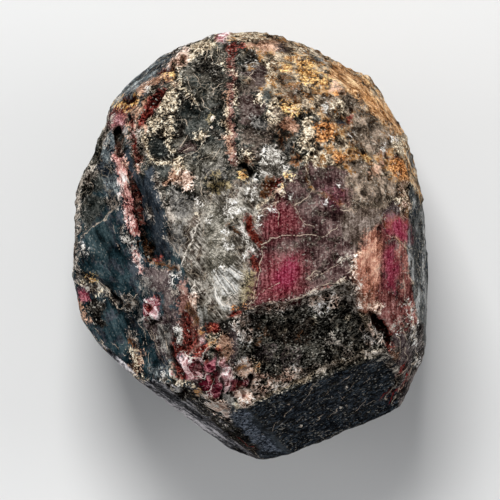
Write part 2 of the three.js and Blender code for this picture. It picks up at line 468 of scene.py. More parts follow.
hair("dark", [(-7.65, 4.5), (-7.4, 4)], [(-8.9, 7), (-8.85, 6.95)],
     [(-7.55, 7.9), (-7.5, 7.2), (-7.45, 6.5), (-7.25, 5.6), (-7.15, 4.9)],
     [(-8, 5.4), (-7.75, 4.9), (-7.35, 3.9)], width=0.068)
count_marks("left shoulder")

# %% [markdown]
# ### The crown
# The crown is a cobble of dark cells in a net of cream crust. A tan vein runs down its middle,
# brown and red at the rim, and to the right of it the stone is plum-brown.

# %% Marks on the crown
mark("coal",
     patch((-3.4, 11.6), (-3, 12), (-2.6, 11.8), (-2.5, 11.4), (-1.8, 11.6), (-1.7, 11.1),
           (-2, 10.8), (-2.4, 10.5), (-3.3, 10.7), (-3.5, 11.1)),
     patch((-2.6, 10.5), (-1.9, 10.9), (-1.6, 10.5), (-2, 10.2), (-2.5, 10.2)),
     patch((-4.6, 9.9), (-4.3, 9.6), (-4.1, 8.9), (-4.5, 8.8), (-4.7, 9.3)),
     patch((-0.4, 12.2), (0.2, 12.25), (0.5, 11.8), (0.4, 11.3), (-0.3, 11.25), (-0.45, 11.8)),
     patch((-2.4, 7.35), (-2, 7.2), (-1.8, 6.7), (-2.1, 6.65), (-2.45, 6.95)),
     patch((-2.4, 8.6), (-2, 8.75), (-1.9, 8.4), (-2.3, 8.25)),
     patch((-4.6, 7.6), (-4.2, 7.7), (-4.1, 7.3), (-4.3, 6.9), (-4.7, 6.7), (-4.8, 7.2)),
     patch((-4.2, 9.5), (-3.6, 9.2), (-3.7, 8.9), (-4.2, 9.1)), most=0.3)
mark("moss",
     patch((-4.6, 8.6), (-3.6, 9.3), (-2.2, 9), (-1.7, 8), (-1.7, 6.2), (-2.4, 5.6), (-3.4, 6.6),
           (-4.3, 7.2)), most=0.08)
mark("moss",
     patch((-6.3, 6.8), (-5.8, 6.9), (-5.3, 6.6), (-5.2, 5.9), (-5.5, 5.5), (-6.1, 5.6),
           (-6.4, 6.1)),
     patch((-6, 4.95), (-5.3, 5), (-5, 4.7), (-5.1, 4.3), (-5.6, 4.2), (-6, 4.4)),
     patch((-3.3, 6), (-2.9, 6.3), (-2.6, 6), (-2.8, 5.5), (-3.3, 5.4)),
     patch((0.5, 9), (0.8, 9.6), (1.1, 9.95), (1.3, 9.3), (1.4, 8.4), (1, 8.2), (0.6, 8.4)),
     spots(0.3, (0.9, 9.2)), most=0.2)
mark("plum",
     patch((-0.65, 11), (-0.1, 11.15), (0.8, 11.25), (1.05, 10.8), (1, 10), (0.5, 9.9), (0, 10.2),
           (-0.4, 10.6)),
     patch((-0.9, 9), (-0.5, 9.5), (0, 9.4), (0.4, 9.1), (0.9, 8.9), (0.9, 8.5), (0.6, 8),
           (0.2, 7.5), (-0.4, 7.4), (-0.7, 8), (-0.85, 8.6)),
     patch((-4.2, 6.4), (-3.7, 6.6), (-3.4, 6.2), (-3.6, 5.9), (-4, 5.7), (-4.45, 5.8)),
     patch((1.2, 12.85), (1.8, 12.8), (2.5, 12.3), (2, 12.05), (1.3, 12.2)))
mark("drab",
     patch((-0.8, 7.1), (0.2, 7.4), (1.3, 7.2), (1.6, 6.8), (1.2, 6.2), (0.5, 6.3), (-0.6, 6.5)),
     patch((-0.6, 6.2), (0.6, 6.1), (0.9, 5.5), (0.5, 5.2), (-0.2, 5.4), (-0.6, 5.7)),
     patch((-1, 10), (0.4, 10.2), (0.5, 9.5), (-0.5, 9.5), (-0.9, 9.2)), most=0.15)
mark("gravel",
     patch((1, 7.9), (1.1, 8.6), (1.4, 9.2), (2, 9), (2.1, 8.2), (1.8, 7.2), (1.2, 7), (0.9, 7.2)),
     most=0.2)
mark("bruised", patch((-3, 6.1), (-2.3, 6.2), (-1.9, 5.6), (-1.9, 4.9), (-2.9, 5)),
     patch((-3.9, 5), (-3.3, 4.9), (-3.1, 4), (-3.6, 4.1)), most=0.1)
mark("cream", patch((1, 8.8), (1.5, 8.9), (1.9, 8.4), (1.7, 7.7), (1.3, 7.4), (1, 7.9)),
     patch((-0.9, 5.9), (-0.2, 5.9), (-0.1, 5.4), (-0.7, 5.2)),
     patch((-6.9, 7), (-6.2, 7), (-6.4, 6.3), (-6.9, 6.2)), most=0.02)
mark("dove", patch((0, 8), (0.9, 8), (1, 7.1), (0.2, 7.2)),
     patch((1.95, 6.5), (2.6, 6.4), (2.5, 6), (2, 5.9)),
     patch((-2.9, 5.2), (-1.7, 5.4), (-1.7, 4.3), (-2.9, 4.4)), most=0.1)
mark("rosewood",
     stroke(0.44, (-1.25, 11.4), (-1.15, 10.6), (-1.1, 9.8), (-1.2, 9), (-1.3, 8.2), (-1.35, 7.3),
            (-1.35, 6.5), (-1.2, 5.9), (-1, 5.2)), most=0.3)
mark("peach", stroke(0.14, (-1.4, 9.6), (-1.45, 8.6), (-1.5, 7.6), (-1.5, 6.6), (-1.3, 5.9)),
     patch((-0.3, 12.6), (0.4, 12.9), (1.2, 12.9), (1.7, 12.6), (1.4, 12.1), (0.7, 12),
           (0.5, 12.4), (0, 12.4)), patch((-0.6, 5.6), (-0.1, 5.5), (-0.1, 5.1), (-0.5, 5.1)),
     most=0.12)
mark("cream", stroke(0.1, (-1.55, 8.6), (-1.6, 7.9), (-1.62, 7.3), (-1.5, 6.9)),
     stroke(0.1, (-1, 9.9), (-0.9, 9.2), (-0.95, 8.6)),
     patch((-3.4, 6.9), (-3, 7.25), (-2.75, 7.1), (-2.8, 6.7), (-3.1, 6.55)),
     patch((-4.8, 5.3), (-4.3, 5.4), (-3.95, 5), (-3.9, 4.5), (-4.4, 4.3), (-4.6, 4.6), (-5, 4.9)),
     patch((0.2, 9.35), (0.6, 9.4), (0.65, 9), (0.3, 9)),
     stroke(0.28, (-1.2, 13.1), (-0.5, 13.2), (0.1, 13.15), (0.7, 12.95)),
     stroke(0.14, (-1.75, 11.4), (-1.45, 11.1), (-1.1, 10.7)),
     stroke(0.16, (-4.4, 10.4), (-4.2, 9.8), (-3.8, 9.3), (-3.3, 9)),
     patch((0.8, 11.5), (1.5, 11.4), (1.4, 10.7), (1.1, 10.3), (1, 10.9)), most=0.08)
mark("peach",
     patch((-4.9, 5.2), (-4.3, 5.2), (-3.9, 4.6), (-3.6, 4.2), (-3.6, 3.6), (-4, 3.4), (-4.3, 3.9),
           (-5, 4.1), (-5.4, 3.9), (-5, 4.6)), most=0.15)
mark("wax", patch((-4.3, 4.6), (-3.9, 4.5), (-3.6, 4.1), (-3.7, 3.5), (-4, 3.5), (-4.3, 4)),
     stroke(0.12, (-4.9, 3.95), (-4.3, 3.9)), most=0.1)
mark("blood", patch((-1.5, 12.5), (-1, 12.6), (-1, 12), (-1.15, 11.6), (-1.4, 11.7), (-1.5, 12.1)),
     spots(0.15, (-1.3, 11.1), (-1.15, 10.3)), stroke(0.15, (-1.35, 12), (-1.3, 11.4)), most=0.1)
mark("scarlet", patch((-0.9, 12.55), (-0.5, 12.7), (-0.2, 12.4), (-0.5, 12.2), (-0.9, 12.3)),
     most=0.05)
mark("pit", patch((-1.72, 12.6), (-1.5, 12.5), (-1.6, 12.2), (-1.75, 12.25)),
     patch((-0.8, 5), (-0.5, 5.15), (-0.25, 4.95), (0, 4.65), (0.1, 4.35), (-0.1, 4.45),
           (-0.35, 4.75), (-0.6, 4.85)),
     spots(0.09, (0.15, 12.95), (0.4, 12.8), (-0.4, 12.1), (0.1, 11.8), (-0.45, 11.1)))
mark("ochre", patch((-0.65, 4.55), (-0.3, 4.55), (-0.25, 4.25), (-0.6, 4.25)), most=0.1)
mark("white",
     patch((0.95, 6.05), (1.5, 6), (1.95, 5.7), (2, 5.1), (1.8, 4.6), (1.1, 4.3), (0.5, 4.5),
           (0.4, 4.95), (0.8, 5.2), (1.1, 5.6)), stroke(0.16, (0.55, 5.65), (0.7, 5.2)),
     patch((0.2, 4.9), (0.9, 4.95), (1.6, 5.1), (2.2, 4.9), (2.1, 4.4), (1.2, 4.2), (0.4, 4.1)),
     stroke(0.16, (1.2, 4.9), (1.3, 4.2)), stroke(0.14, (1.6, 4.9), (1.6, 4.1)),
     stroke(0.14, (1.9, 4.9), (2.1, 4.3)), stroke(0.14, (0.9, 4.2), (1, 3.7), (0.8, 3.3)),
     stroke(0.12, (1.5, 4.4), (1.4, 3.9)), stroke(0.12, (-0.8, 5.75), (-0.7, 5.4)),
     stroke(0.1, (0.75, 6), (0.8, 5.5)), stroke(0.1, (1.2, 6.15), (1.45, 6.05)),
     spots(0.07, (-0.35, 11.25), (0.1, 11.3)))
mark("pale", spots(0.1, (-2.35, 7.4), (-2.3, 7.85), (-2.8, 6.65)), most=0.04)
hair("bright", [(-2.45, 12.25), (-2.5, 11.7), (-2.4, 11.2)],
     [(-2.1, 12.3), (-2.05, 11.7), (-2.15, 11.3)], [(-2.8, 12.1), (-2.85, 11.6)],
     [(-1.75, 12.1), (-1.8, 11.5)], [(-3.5, 10.5), (-3.1, 10.1)], [(-2.5, 9.9), (-2.4, 9.5)],
     [(-4, 10.3), (-3.7, 9.8)], [(-1.7, 9.2), (-1.75, 8.6)], width=0.05)
hair("bright", [(-4.2, 9), (-3.8, 9.4), (-3.5, 9.3)], [(-3.7, 8.9), (-3.6, 8.5)],
     [(-3.3, 8.95), (-3.1, 8.5)], [(-3, 9.2), (-2.8, 8.8), (-2.5, 8.6)],
     [(-2.9, 6.5), (-3.3, 6.1), (-3.7, 5.7), (-4.1, 5.35)], [(-2.5, 5.9), (-2.7, 5.5), (-3.2, 5.3)],
     [(-2, 6.1), (-2.1, 5.8), (-2.35, 5.4)], [(-4.4, 6.2), (-4.2, 6.6), (-3.9, 6.9)],
     [(-4.7, 7.7), (-4.3, 7.85), (-4, 7.6)], [(-3.8, 6.25), (-4.2, 5.8)],
     [(-2.8, 4.5), (-2.6, 4.2), (-2.6, 3.8)], [(0.1, 10.9), (-0.3, 10.6), (0.1, 10.3)],
     [(-2.5, 9.7), (-2.1, 9.9), (-1.7, 10.2)], width=0.06)
hair("bright", [(-3.1, 4), (-3.1, 3.5), (-3.1, 3.2)], width=0.054)
mark("olive", patch((-2.6, 4), (-1.6, 4.1), (-1.4, 3.6), (-2, 3.4), (-2.5, 3.3)),
     patch((-2.8, 13), (-2.4, 12.9), (-2.3, 12.4), (-2.7, 12.4)),
     spots(0.15, (-2.3, 2.4), (-1.3, 1.8), (-2.2, 4.4), (-2.5, 7.9)), most=0.02)
count_marks("crown")

# %% [markdown]
# ### The rusted shoulder
# On the right the worn end is crusted with rust: cream, tan and orange grains over brown, with
# grey stone where the crust has gone, a smooth little bowl, and an orange skin along the rim.

# %% Marks on the rusted shoulder
mark("gravel",
     patch((6.3, 8.5), (7.6, 8.3), (8.3, 7.6), (8.9, 6.8), (8.5, 6), (7.6, 5.6), (6.9, 5.95),
           (6.3, 6.2), (5.9, 7), (6.3, 7.6)),
     patch((5.8, 5.2), (7.4, 5.2), (7.5, 4.5), (9.2, 4.1), (9.3, 3), (8.2, 2.3), (6, 2.2),
           (6, 4.6)),
     patch((4.6, 9.2), (5.8, 9.5), (7, 9.2), (7.6, 8.5), (6.4, 8.4), (5.6, 8.5), (4.8, 8.7)),
     most=0.15)
mark("steel", patch((3.4, 12.1), (4, 11.95), (5, 11.35), (4.6, 11.35), (3.9, 11.5), (3.5, 11.8)),
     stroke(0.25, (9.65, 6.3), (9.85, 5.6), (10.05, 4.9)), most=0.1)
mark("drab", patch((1.9, 10.8), (2.5, 10.6), (2.6, 10.2), (2, 10.2)), most=0.05)
mark("peach",
     patch((1.85, 8), (2.5, 8.15), (2.8, 7.8), (2.75, 7.2), (2.2, 7.1), (1.7, 7.3), (1.65, 7.7)),
     patch((4.9, 10.1), (5.5, 10), (5.7, 9.6), (5.2, 9.3), (4.7, 9.6)),
     patch((7.5, 5), (8, 4.9), (7.95, 4.4), (7.5, 4.4)),
     stroke(0.2, (7.9, 5.8), (8, 5.4), (8.15, 5)),
     stroke(0.16, (5.8, 10.2), (6.3, 9.9), (7, 9.2), (7.7, 8.6), (8.3, 8.1), (8.9, 7.3)), most=0.2)
mark("rim",
     stroke(0.42, (4.9, 11.4), (5.6, 11), (6.3, 10.55), (7, 9.95), (7.6, 9.2), (8, 8.7),
            (8.5, 8.1), (9.1, 7.2)), stroke(0.4, (9.4, 4.7), (9.5, 3.9), (9.45, 3.1)),
     stroke(0.7, (5.2, 10.75), (6, 10.2), (6.8, 9.5), (7.4, 8.8), (8.1, 8)), most=0.25)
mark("ochre",
     patch((2.9, 11.4), (3.3, 11.55), (3.8, 11.5), (3.8, 11.1), (3.5, 10.6), (3.1, 10.5), (3, 11)),
     patch((4, 10.4), (4.8, 10.3), (4.8, 9.95), (4.2, 10.05)),
     patch((3, 10.9), (4, 10.9), (4, 10.1), (3.1, 10.1)),
     patch((1.9, 8.95), (2.3, 8.95), (2.9, 8.8), (3, 8.4), (2.5, 8.2), (1.9, 8.4)),
     patch((5.35, 7.35), (5.9, 7.4), (5.85, 7.1), (5.4, 7.05)),
     patch((7.1, 9.4), (7.5, 9.2), (7.4, 8.95), (7.15, 9.1)),
     patch((1.9, 11.3), (2.5, 11.2), (2.4, 10.7), (1.9, 10.9)),
     stroke(0.14, (6.3, 5.75), (6.9, 5.5), (7.3, 5.3)), most=0.1)
mark("amber",
     patch((4, 7.6), (4.6, 7.7), (5.15, 7.5), (5.15, 6.9), (4.8, 6.5), (4.5, 6.3), (4.05, 6.6),
           (3.9, 7.1)), patch((5, 5.95), (5.4, 5.9), (5.8, 5.6), (5.6, 5.2), (5.25, 5.2), (5, 5.5)),
     patch((8.5, 5.2), (8.8, 5.5), (9.3, 5.3), (9.6, 4.9), (9.5, 4.3), (9, 4.1), (8.7, 4.5)),
     patch((5, 9.6), (5.5, 9.6), (5.4, 9.3), (5, 9.3)),
     stroke(0.2, (7, 9.5), (7.5, 8.9), (7.9, 8.6)), most=0.12)
mark("umber", patch((2, 9.9), (2.9, 10), (3, 9.2), (2.1, 9.1)),
     patch((5.3, 7), (6, 7.1), (5.9, 7.9), (5.2, 7.7)), most=-0.02)
mark("umber", patch((2.3, 5.6), (2.9, 5.7), (3.1, 5.3), (2.8, 5), (2.3, 5.1)),
     stroke(0.14, (1.75, 7), (2.1, 6.95), (2.65, 7.05)),
     stroke(0.16, (1.8, 6.9), (1.75, 6.4), (1.85, 6)), spots(0.14, (2.25, 6.85), (2.6, 5.9)),
     stroke(0.12, (2.6, 6.2), (2.7, 5.9)),
     patch((0.5, 3.8), (0.9, 4.1), (1.5, 4.1), (1.5, 3.9), (1.2, 3.4), (0.9, 3.1), (0.5, 3.3)),
     most=0.1)
mark("cream", patch((4.5, 5.7), (5, 5.7), (5.05, 5.2), (4.6, 5.3)),
     stroke(0.2, (3.1, 5.2), (3.6, 5.3), (4.6, 5.15)),
     patch((5, 8.9), (5.7, 8.9), (5.6, 8.3), (5.1, 8.4)),
     patch((8.7, 6.6), (9.1, 6.6), (9.5, 6), (9.3, 5.6), (8.9, 6)),
     stroke(0.14, (3, 12.4), (3.8, 12.15)),
     patch((8.7, 2.9), (9.4, 2.95), (9.9, 2.7), (9.7, 2.2), (9.4, 2.5)),
     stroke(0.12, (9.4, 6.6), (9.5, 6.1)), most=0.08)
mark("cream",
     patch((3, 7), (3.2, 7.8), (3.8, 7.9), (3.95, 6.6), (3.7, 5.9), (3.1, 5.9), (2.9, 6.4)),
     stroke(0.4, (9.5, 3.9), (9.5, 2.4)), most=0.3)
mark("wax", stroke(0.3, (9.4, 3.9), (9.5, 3.2), (9.5, 2.4)), most=-0.02)
mark("white", stroke(0.16, (4.6, 8.85), (4.7, 8.5)),
     spots(0.1, (2.85, 9.7), (3, 11.45), (4.95, 6.4)),
     spots(0.12, (6.15, 6.95), (8.2, 6), (8.8, 6.6)))
mark("slate", patch((5.2, 7.85), (5.5, 8), (5.8, 7.9), (5.9, 7.65), (5.6, 7.45), (5.3, 7.6)),
     spots(0.14, (4.35, 6.1)))
mark("plum", stroke(0.3, (4.7, 8.4), (4.9, 8.1)),
     spots(0.1, (4.35, 7.8), (8.2, 4.7), (7.6, 5.3), (8.1, 7.75)))
mark("blood", patch((5.9, 7.9), (6.05, 8.3), (6.3, 8), (6.1, 7.5), (5.95, 7.6)),
     spots(0.09, (8.4, 5.15), (6.2, 8.45)), stroke(0.16, (8.5, 5.6), (8.8, 5.5), (9, 5.6)))
mark("pit", stroke(0.12, (6, 5.7), (6.15, 5.9)),
     spots(0.1, (3.5, 8.45), (3.15, 8.1), (1.75, 9.05), (1.95, 9.1)),
     spots(0.07, (6.75, 4.3), (7.3, 4.25), (8, 0.95)),
     spots(0.08, (4.3, 6.1), (5.6, 9.55), (6.1, 8.9), (6.2, 8.45), (3.55, 7.4), (3.3, 9.6)))
hair("dark", [(5.2, 7.65), (5.5, 7.42), (5.9, 7.5)], [(6.6, 5.95), (7.1, 5.72), (7.45, 5.5)],
     [(4.3, 9.3), (4.5, 9.1)], [(2.55, 10.5), (2.7, 10.2)], [(4.4, 11.15), (4.8, 11)],
     [(4.6, 10.65), (4.85, 10.5)], [(4.2, 9.9), (4.4, 9.5)], [(8.65, 5.5), (8.85, 5.45)],
     width=0.068)
count_marks("rusted shoulder")

# %% [markdown]
# ### The teal flank
# The left flank is a smooth growth face with a few scratches. Its outer edge is worn pale, a notch
# is torn out of it in a V, and a black slit opens beside the smooth slate strip above.

# %% Marks on the teal flank
mark("moss",
     patch((-10.5, 3.4), (-9.7, 3.2), (-9.2, 3.1), (-8.8, 2.9), (-9.2, 2.2), (-9.7, 1.5),
           (-10.4, 1), (-10.6, 2)), patch((-9.9, 4.3), (-9.1, 4.4), (-9.1, 3.4), (-9.8, 3.4)),
     most=0.3)
mark("frost",
     patch((-9, 7.1), (-8.6, 7.2), (-8.45, 6.6), (-8.4, 5.6), (-8.3, 4.6), (-8.2, 3.6), (-8.4, 3),
           (-9, 3.1), (-9.1, 4), (-9.3, 4.8), (-9.6, 5.6), (-9.3, 6.4)), most=0.2)
mark("slate",
     patch((-6.6, 4.8), (-6.1, 4.9), (-6, 4.3), (-5.7, 3.5), (-5.5, 2.6), (-5.35, 1.6),
           (-5.1, 0.4), (-4.9, -0.5), (-5.2, -0.6), (-5.9, -0.3), (-6.2, 0.4), (-6.5, 1.1),
           (-6.8, 1.8), (-6.8, 3), (-6.8, 4)),
     patch((-7.9, 5.9), (-7.4, 6), (-7.3, 5), (-7, 4.6), (-6.8, 3.6), (-7.1, 3.8), (-7.45, 4.4),
           (-7.9, 5.2)), patch((-9.6, 5), (-9.3, 5.3), (-9.1, 4.9), (-9.2, 4.5), (-9.6, 4.6)))
mark("bluegrey",
     patch((-1, -10), (-0.3, -10.1), (-0.1, -10.6), (0.2, -11.3), (0.9, -11.7), (1.2, -12.3),
           (1.8, -12.8), (0.8, -12.8), (0, -12.2), (-0.9, -11.3), (-1.3, -10.7)), most=0.2)
mark("brightteal",
     patch((-10.2, 0.7), (-9.6, 1.2), (-9, 1.4), (-8.7, 0.6), (-9, -0.8), (-10, -0.6)), most=0.3)
mark("frost", patch((-8, -3.3), (-7.5, -3.2), (-7.1, -3.5), (-7.3, -4), (-7.9, -3.9)), most=0.15)
mark("ash",
     patch((-10.8, -1.9), (-10.2, -2.1), (-9.4, -2.3), (-8.9, -2.7), (-9, -3), (-9.6, -2.9),
           (-10.2, -2.7), (-10.7, -2.6)), most=0.1)
mark("coal",
     patch((-10.3, -3.3), (-9.7, -3.1), (-9.3, -3.5), (-9.15, -4.3), (-9.1, -5.1), (-9.6, -5),
           (-10, -4.6), (-10.3, -4)), most=0.2)
mark("crest",
     stroke(0.28, (-9.9, 4.9), (-10.3, 4.4), (-10.6, 3.8), (-10.75, 3.2), (-10.8, 2.5),
            (-10.8, 1.8), (-10.75, 1.1), (-10.85, 0.4), (-10.95, -0.3), (-11, -1), (-10.9, -2)),
     patch((-8.9, 2.9), (-8.5, 3), (-8.1, 2.8), (-8.2, 2.5), (-8.7, 2.3)),
     stroke(0.24, (-5.9, 4.4), (-5.6, 3.2), (-5.3, 2.6), (-5.15, 2), (-5, 1.1), (-4.95, 0.4)),
     stroke(0.2, (-10.3, 4), (-9.9, 4.4), (-9.5, 4.5)), stroke(0.14, (-6.3, 2.3), (-6.25, 1.7)),
     patch((-8.1, 1.1), (-7.8, 1), (-7.4, 0.6), (-7.1, 0), (-7.3, -0.2), (-7.6, 0.1)),
     patch((-8.7, -3.3), (-8.2, -3.2), (-7.6, -3.1), (-7.1, -3.4), (-7.3, -3.9), (-8, -3.8)),
     stroke(0.16, (-7.5, -5.3), (-7.3, -5.8), (-7.1, -6.2)), most=0.06)
mark("peach", stroke(0.26, (-10.75, -3.5), (-10.6, -3.9), (-10.4, -4.3), (-10.2, -4.7)),
     patch((-7.3, -6.3), (-7, -6.2), (-6.8, -6.5), (-6.7, -7.3), (-6.9, -7.6), (-7.2, -7.8),
           (-7.4, -7.4), (-7.3, -6.8)))
mark("cream", patch((-7.3, -6.4), (-7, -6.3), (-6.85, -6.8), (-7, -7.6), (-7.3, -7.3)),
     spots(0.13, (-7.6, -6.4), (-9.35, -2.85), (-10.6, -2.3)),
     stroke(0.14, (-7.3, -7.9), (-6.7, -8.2)), most=0.1)
mark("ochre", stroke(0.16, (-10.1, -1.85), (-9.75, -2)), most=0.05)
mark("white", stroke(0.18, (-10.4, 0), (-10.2, -0.3)), stroke(0.24, (-7.8, 0.8), (-7.5, 0)),
     spots(0.1, (-10.3, -2.5)), stroke(0.1, (-7.9, -3.9), (-7.7, -4)))
mark("pale", spots(0.07, (-9.2, -4.55), (-9.8, -4.75), (-9.2, -3.35)))
hair("bright", [(-10.4, 0.8), (-10, 1.05), (-9.6, 1.4), (-9.1, 1.6), (-8.9, 2), (-8.7, 2.5)],
     width=0.072)
hair("bright",
     [(-10.3, -1.8), (-9.8, -2), (-9.4, -2.2), (-9.05, -2.5), (-8.8, -2.95), (-8.5, -3.5),
      (-8.2, -4.05), (-8, -4), (-7.7, -3.7), (-7.35, -3.35), (-7.2, -3)], width=0.09)
hair("bright", [(-8.5, 0.15), (-8.25, -0.35)], [(-8.5, 1.3), (-8.4, 0.9)],
     [(-9.7, -5.1), (-9.5, -5.4)], [(-9.35, -5.8), (-9.2, -6)], [(-8.6, -6), (-8.3, -6.3)],
     [(-6.35, -5.4), (-6.1, -5.9)], [(-6.4, -6.6), (-6.3, -7.1), (-6.2, -7.3)],
     [(-10, 4), (-9.7, 3.9), (-9.8, 3.6)], width=0.05)
hair("bright", [(-8, 1.1), (-7.85, 1.3)], [(-10.45, -4.8), (-10, -5.4), (-9.5, -5.9), (-8.9, -6.5)],
     width=0.06)
hair("bright", [(-7, -4.8), (-6.75, -5.2), (-6.6, -5.6), (-6.5, -6)], width=0.054)
# Painted shadow: this dark line is the shade of the step beside the V's pale edge.
hair("dark", [(-9.2, -2.6), (-8.75, -3.2), (-8.4, -3.8), (-8.15, -4.15)], width=0.1)
mark("dove", patch((-6.9, -2.1), (-6.1, -2), (-5.9, -2.9), (-6.7, -3)), most=0)
mark("dove", stroke(0.2, (-7.05, -4.1), (-6.85, -4.6), (-6.7, -5.2)), spots(0.12, (-6.8, -4.7)),
     most=0.08)
mark("coal",
     patch((-6.95, 1.25), (-6.75, 1.15), (-6.55, 0.5), (-6.25, 0.1), (-6, -0.2), (-6, -0.7),
           (-6.4, -0.8), (-6.7, -0.5), (-6.8, 0.1), (-7, 0.7)))
mark("pit", stroke(0.16, (-6.85, 1.1), (-6.8, 0.6), (-6.6, 0.2)),
     stroke(0.2, (-6.3, -0.1), (-6.15, -0.65)),
     patch((-9, -2.4), (-8.6, -2.8), (-8.2, -3.3), (-7.9, -3.6), (-8.1, -3.9), (-8.4, -3.4),
           (-8.8, -2.8)), spots(0.08, (-9.4, 5.45), (-8.3, 0), (-5.35, 2.95)))
hair("dark", [(-6.8, -1.1), (-6.7, -1.6)], width=0.068)
mark("umber", stroke(0.12, (-6.85, 0.8), (-6.75, 0.4), (-6.6, 0)),
     stroke(0.1, (-6.6, 0.3), (-6.4, -0.2)),
     stroke(0.2, (-6.4, -0.85), (-5.8, -0.95), (-5.4, -1.1), (-5, -1.4), (-4.7, -1.3)),
     stroke(0.14, (-7.45, -5.9), (-7.2, -6.3)), most=0.1)
mark("mulberry",
     patch((-10.75, -2.9), (-10.4, -2.75), (-10.15, -3), (-10.1, -3.3), (-10.4, -3.6),
           (-10.8, -3.4)))
mark("scarlet", spots(0.2, (-5.75, -0.75)))
mark("magenta", patch((-10.6, -2.7), (-10.3, -2.6), (-10.2, -2.9), (-10.5, -2.95)), most=0.1)
count_marks("teal flank")

# %% [markdown]
# ### The pale plate and its torn edge
# The plate in the middle left is grey and bruised white, with long curved fibres where it was
# struck. Its lower edge is torn: a brown wedge, a mauve sheet, a pink crystal and two red cracks.

# %% Marks on the pale plate
mark("dove",
     patch((-5, 3.6), (-4.4, 3.5), (-4, 3.2), (-3.5, 3.2), (-3.5, 2.2), (-3.9, 1.8), (-4.5, 1.8),
           (-4.9, 1.9), (-5, 2.6)),
     patch((-4.9, 1.6), (-4, 1.6), (-4, 0.6), (-4.3, -0.6), (-4.8, -0.4), (-5, 0.6)), most=0.12)
mark("drab", patch((-2.9, 3.4), (-1.5, 3.2), (-1.2, 2.7), (-2.1, 2.6), (-2.9, 2.6)),
     patch((-1, 2), (0.3, 2.4), (0.4, 1.6), (0, 1.3), (-0.1, 0.4), (-0.5, 0.3), (-0.8, 1.2)),
     patch((-2.6, -2.7), (-1.6, -3.4), (-1.7, -4.1), (-2.6, -3.9), (-2.9, -3.2)), most=0.03)
mark("moss", stroke(0.34, (-3.1, 1.3), (-3.3, 0.3), (-3.6, -0.5), (-3.9, -1.5), (-4, -2.2)),
     stroke(0.3, (-0.9, 0.6), (-1, -0.3), (-1.1, -1)), most=0.06)
mark("frost", stroke(0.26, (-3, -3.4), (-2.75, -3.7), (-2.8, -4.1)),
     patch((-5.6, -4.6), (-5.1, -4.5), (-5, -5.2), (-5.5, -5.4)), most=0.08)
mark("mauve",
     patch((-6, -1.2), (-5.4, -1.3), (-4.9, -1.6), (-5, -2.3), (-4.6, -3), (-4.6, -3.6),
           (-5.2, -3.5), (-5.6, -3), (-6.2, -2.8), (-6.8, -2.2), (-6.7, -1.5)),
     patch((-5.4, -3.6), (-4.7, -3.9), (-4.6, -4.7), (-5.2, -4.5)), most=0.3)
mark("rosewood",
     patch((-4.4, -1.9), (-4.1, -2.1), (-3.8, -2.9), (-3.6, -3.6), (-3, -4.6), (-2.6, -5.4),
           (-3, -6.8), (-4.2, -6.8), (-4.6, -5), (-4.5, -3.6), (-4.7, -2.6)), most=0.3)
mark("peach", patch((-2.5, 0.1), (-1.9, 0), (-1.8, -0.6), (-2.3, -0.9), (-2.7, -0.5)), most=0.03)
mark("bruised",
     patch((-3, 2.6), (-0.6, 2.8), (-0.4, 2.2), (-1.2, 1.6), (-1.3, 0.2), (-0.9, -0.8),
           (-0.5, -1.6), (-0.8, -3.4), (-1.6, -3.9), (-2.6, -2.6), (-3, -0.6), (-2.9, 1)))
mark("white", patch((-2, 2.4), (-1.2, 2.9), (-0.9, 2.3), (-0.6, 2.3), (-1.1, 1.95), (-1.7, 1.8)),
     patch((-0.5, 1.3), (-0.3, 0.95), (0, 0.5), (0.25, 0), (0.2, -0.35), (-0.1, -0.1),
           (-0.3, 0.25), (-0.6, 0.5)),
     patch((-0.35, 3.6), (0.2, 3.6), (0.4, 3), (0.1, 2.9), (-0.3, 3.1)),
     patch((-0.3, -0.4), (0.1, -0.3), (0.2, -0.6), (-0.2, -0.7)),
     stroke(0.16, (-1.6, 1.25), (-1.5, 0.8)), stroke(0.14, (-1.5, 0.1), (-1.3, -0.1)),
     stroke(0.14, (-1.8, -1.2), (-1.6, -1.5)), stroke(0.12, (-3.4, 3), (-3.3, 2.4)),
     stroke(0.2, (-4.95, -1.5), (-4.85, -2.2)), spots(0.1, (-4.5, -1.7), (-3.15, 2.6), (-2.6, 1.6)),
     most=0.14)
mark("feather",
     patch((-1.3, -1.2), (-0.75, -1.3), (-0.45, -1.75), (-0.75, -2.1), (-0.85, -2.5), (-1, -2.9),
           (-1.3, -3.1), (-1.7, -3), (-2, -2.6), (-2.25, -2), (-2.3, -1.5), (-1.8, -1.4)),
     patch((-3.5, -3.7), (-3, -3.8), (-2.45, -4.3), (-2.35, -4.9), (-2.9, -5.1), (-3.35, -4.9),
           (-3.55, -4.3)), stroke(0.24, (-2.3, -2.2), (-2.1, -3), (-1.75, -3.6), (-1.35, -3.85)))
mark("wax",
     patch((-3.9, -3), (-3.4, -2.9), (-3.15, -3.5), (-3.5, -3.7), (-3.6, -4.2), (-3.35, -4.9),
           (-3, -5.1), (-3.4, -5.2), (-3.9, -4.4)), most=0.2)
mark("olive", patch((-0.8, -2), (-0.3, -1.4), (0.1, -1.8), (0.1, -2.8), (-0.4, -3.3), (-0.9, -3.2)),
     most=0.1)
mark("crest", stroke(0.2, (-1, -3.1), (-1.4, -3.4)),
     stroke(0.16, (-6.3, -1), (-5.6, -1.2), (-5, -1.3), (-4.5, -1.2)),
     stroke(0.16, (-4.9, -2.3), (-4.6, -2.9)), stroke(0.14, (-3.6, -3.9), (-3.5, -3.4)), most=0.08)
mark("cream", stroke(0.2, (-3.35, 2.6), (-3.2, 2)), stroke(0.1, (-5.6, -1), (-5.1, -1.2)),
     most=0.06)
hair("white", [(-3.4, 1.4), (-3.65, 0.8), (-3.8, 0.1), (-4, -0.5), (-4.25, -1.1)], width=0.13)
hair("dark", [(-3.35, 1), (-3.6, 0.2), (-3.85, -0.6), (-4.05, -1.2)], width=0.07)
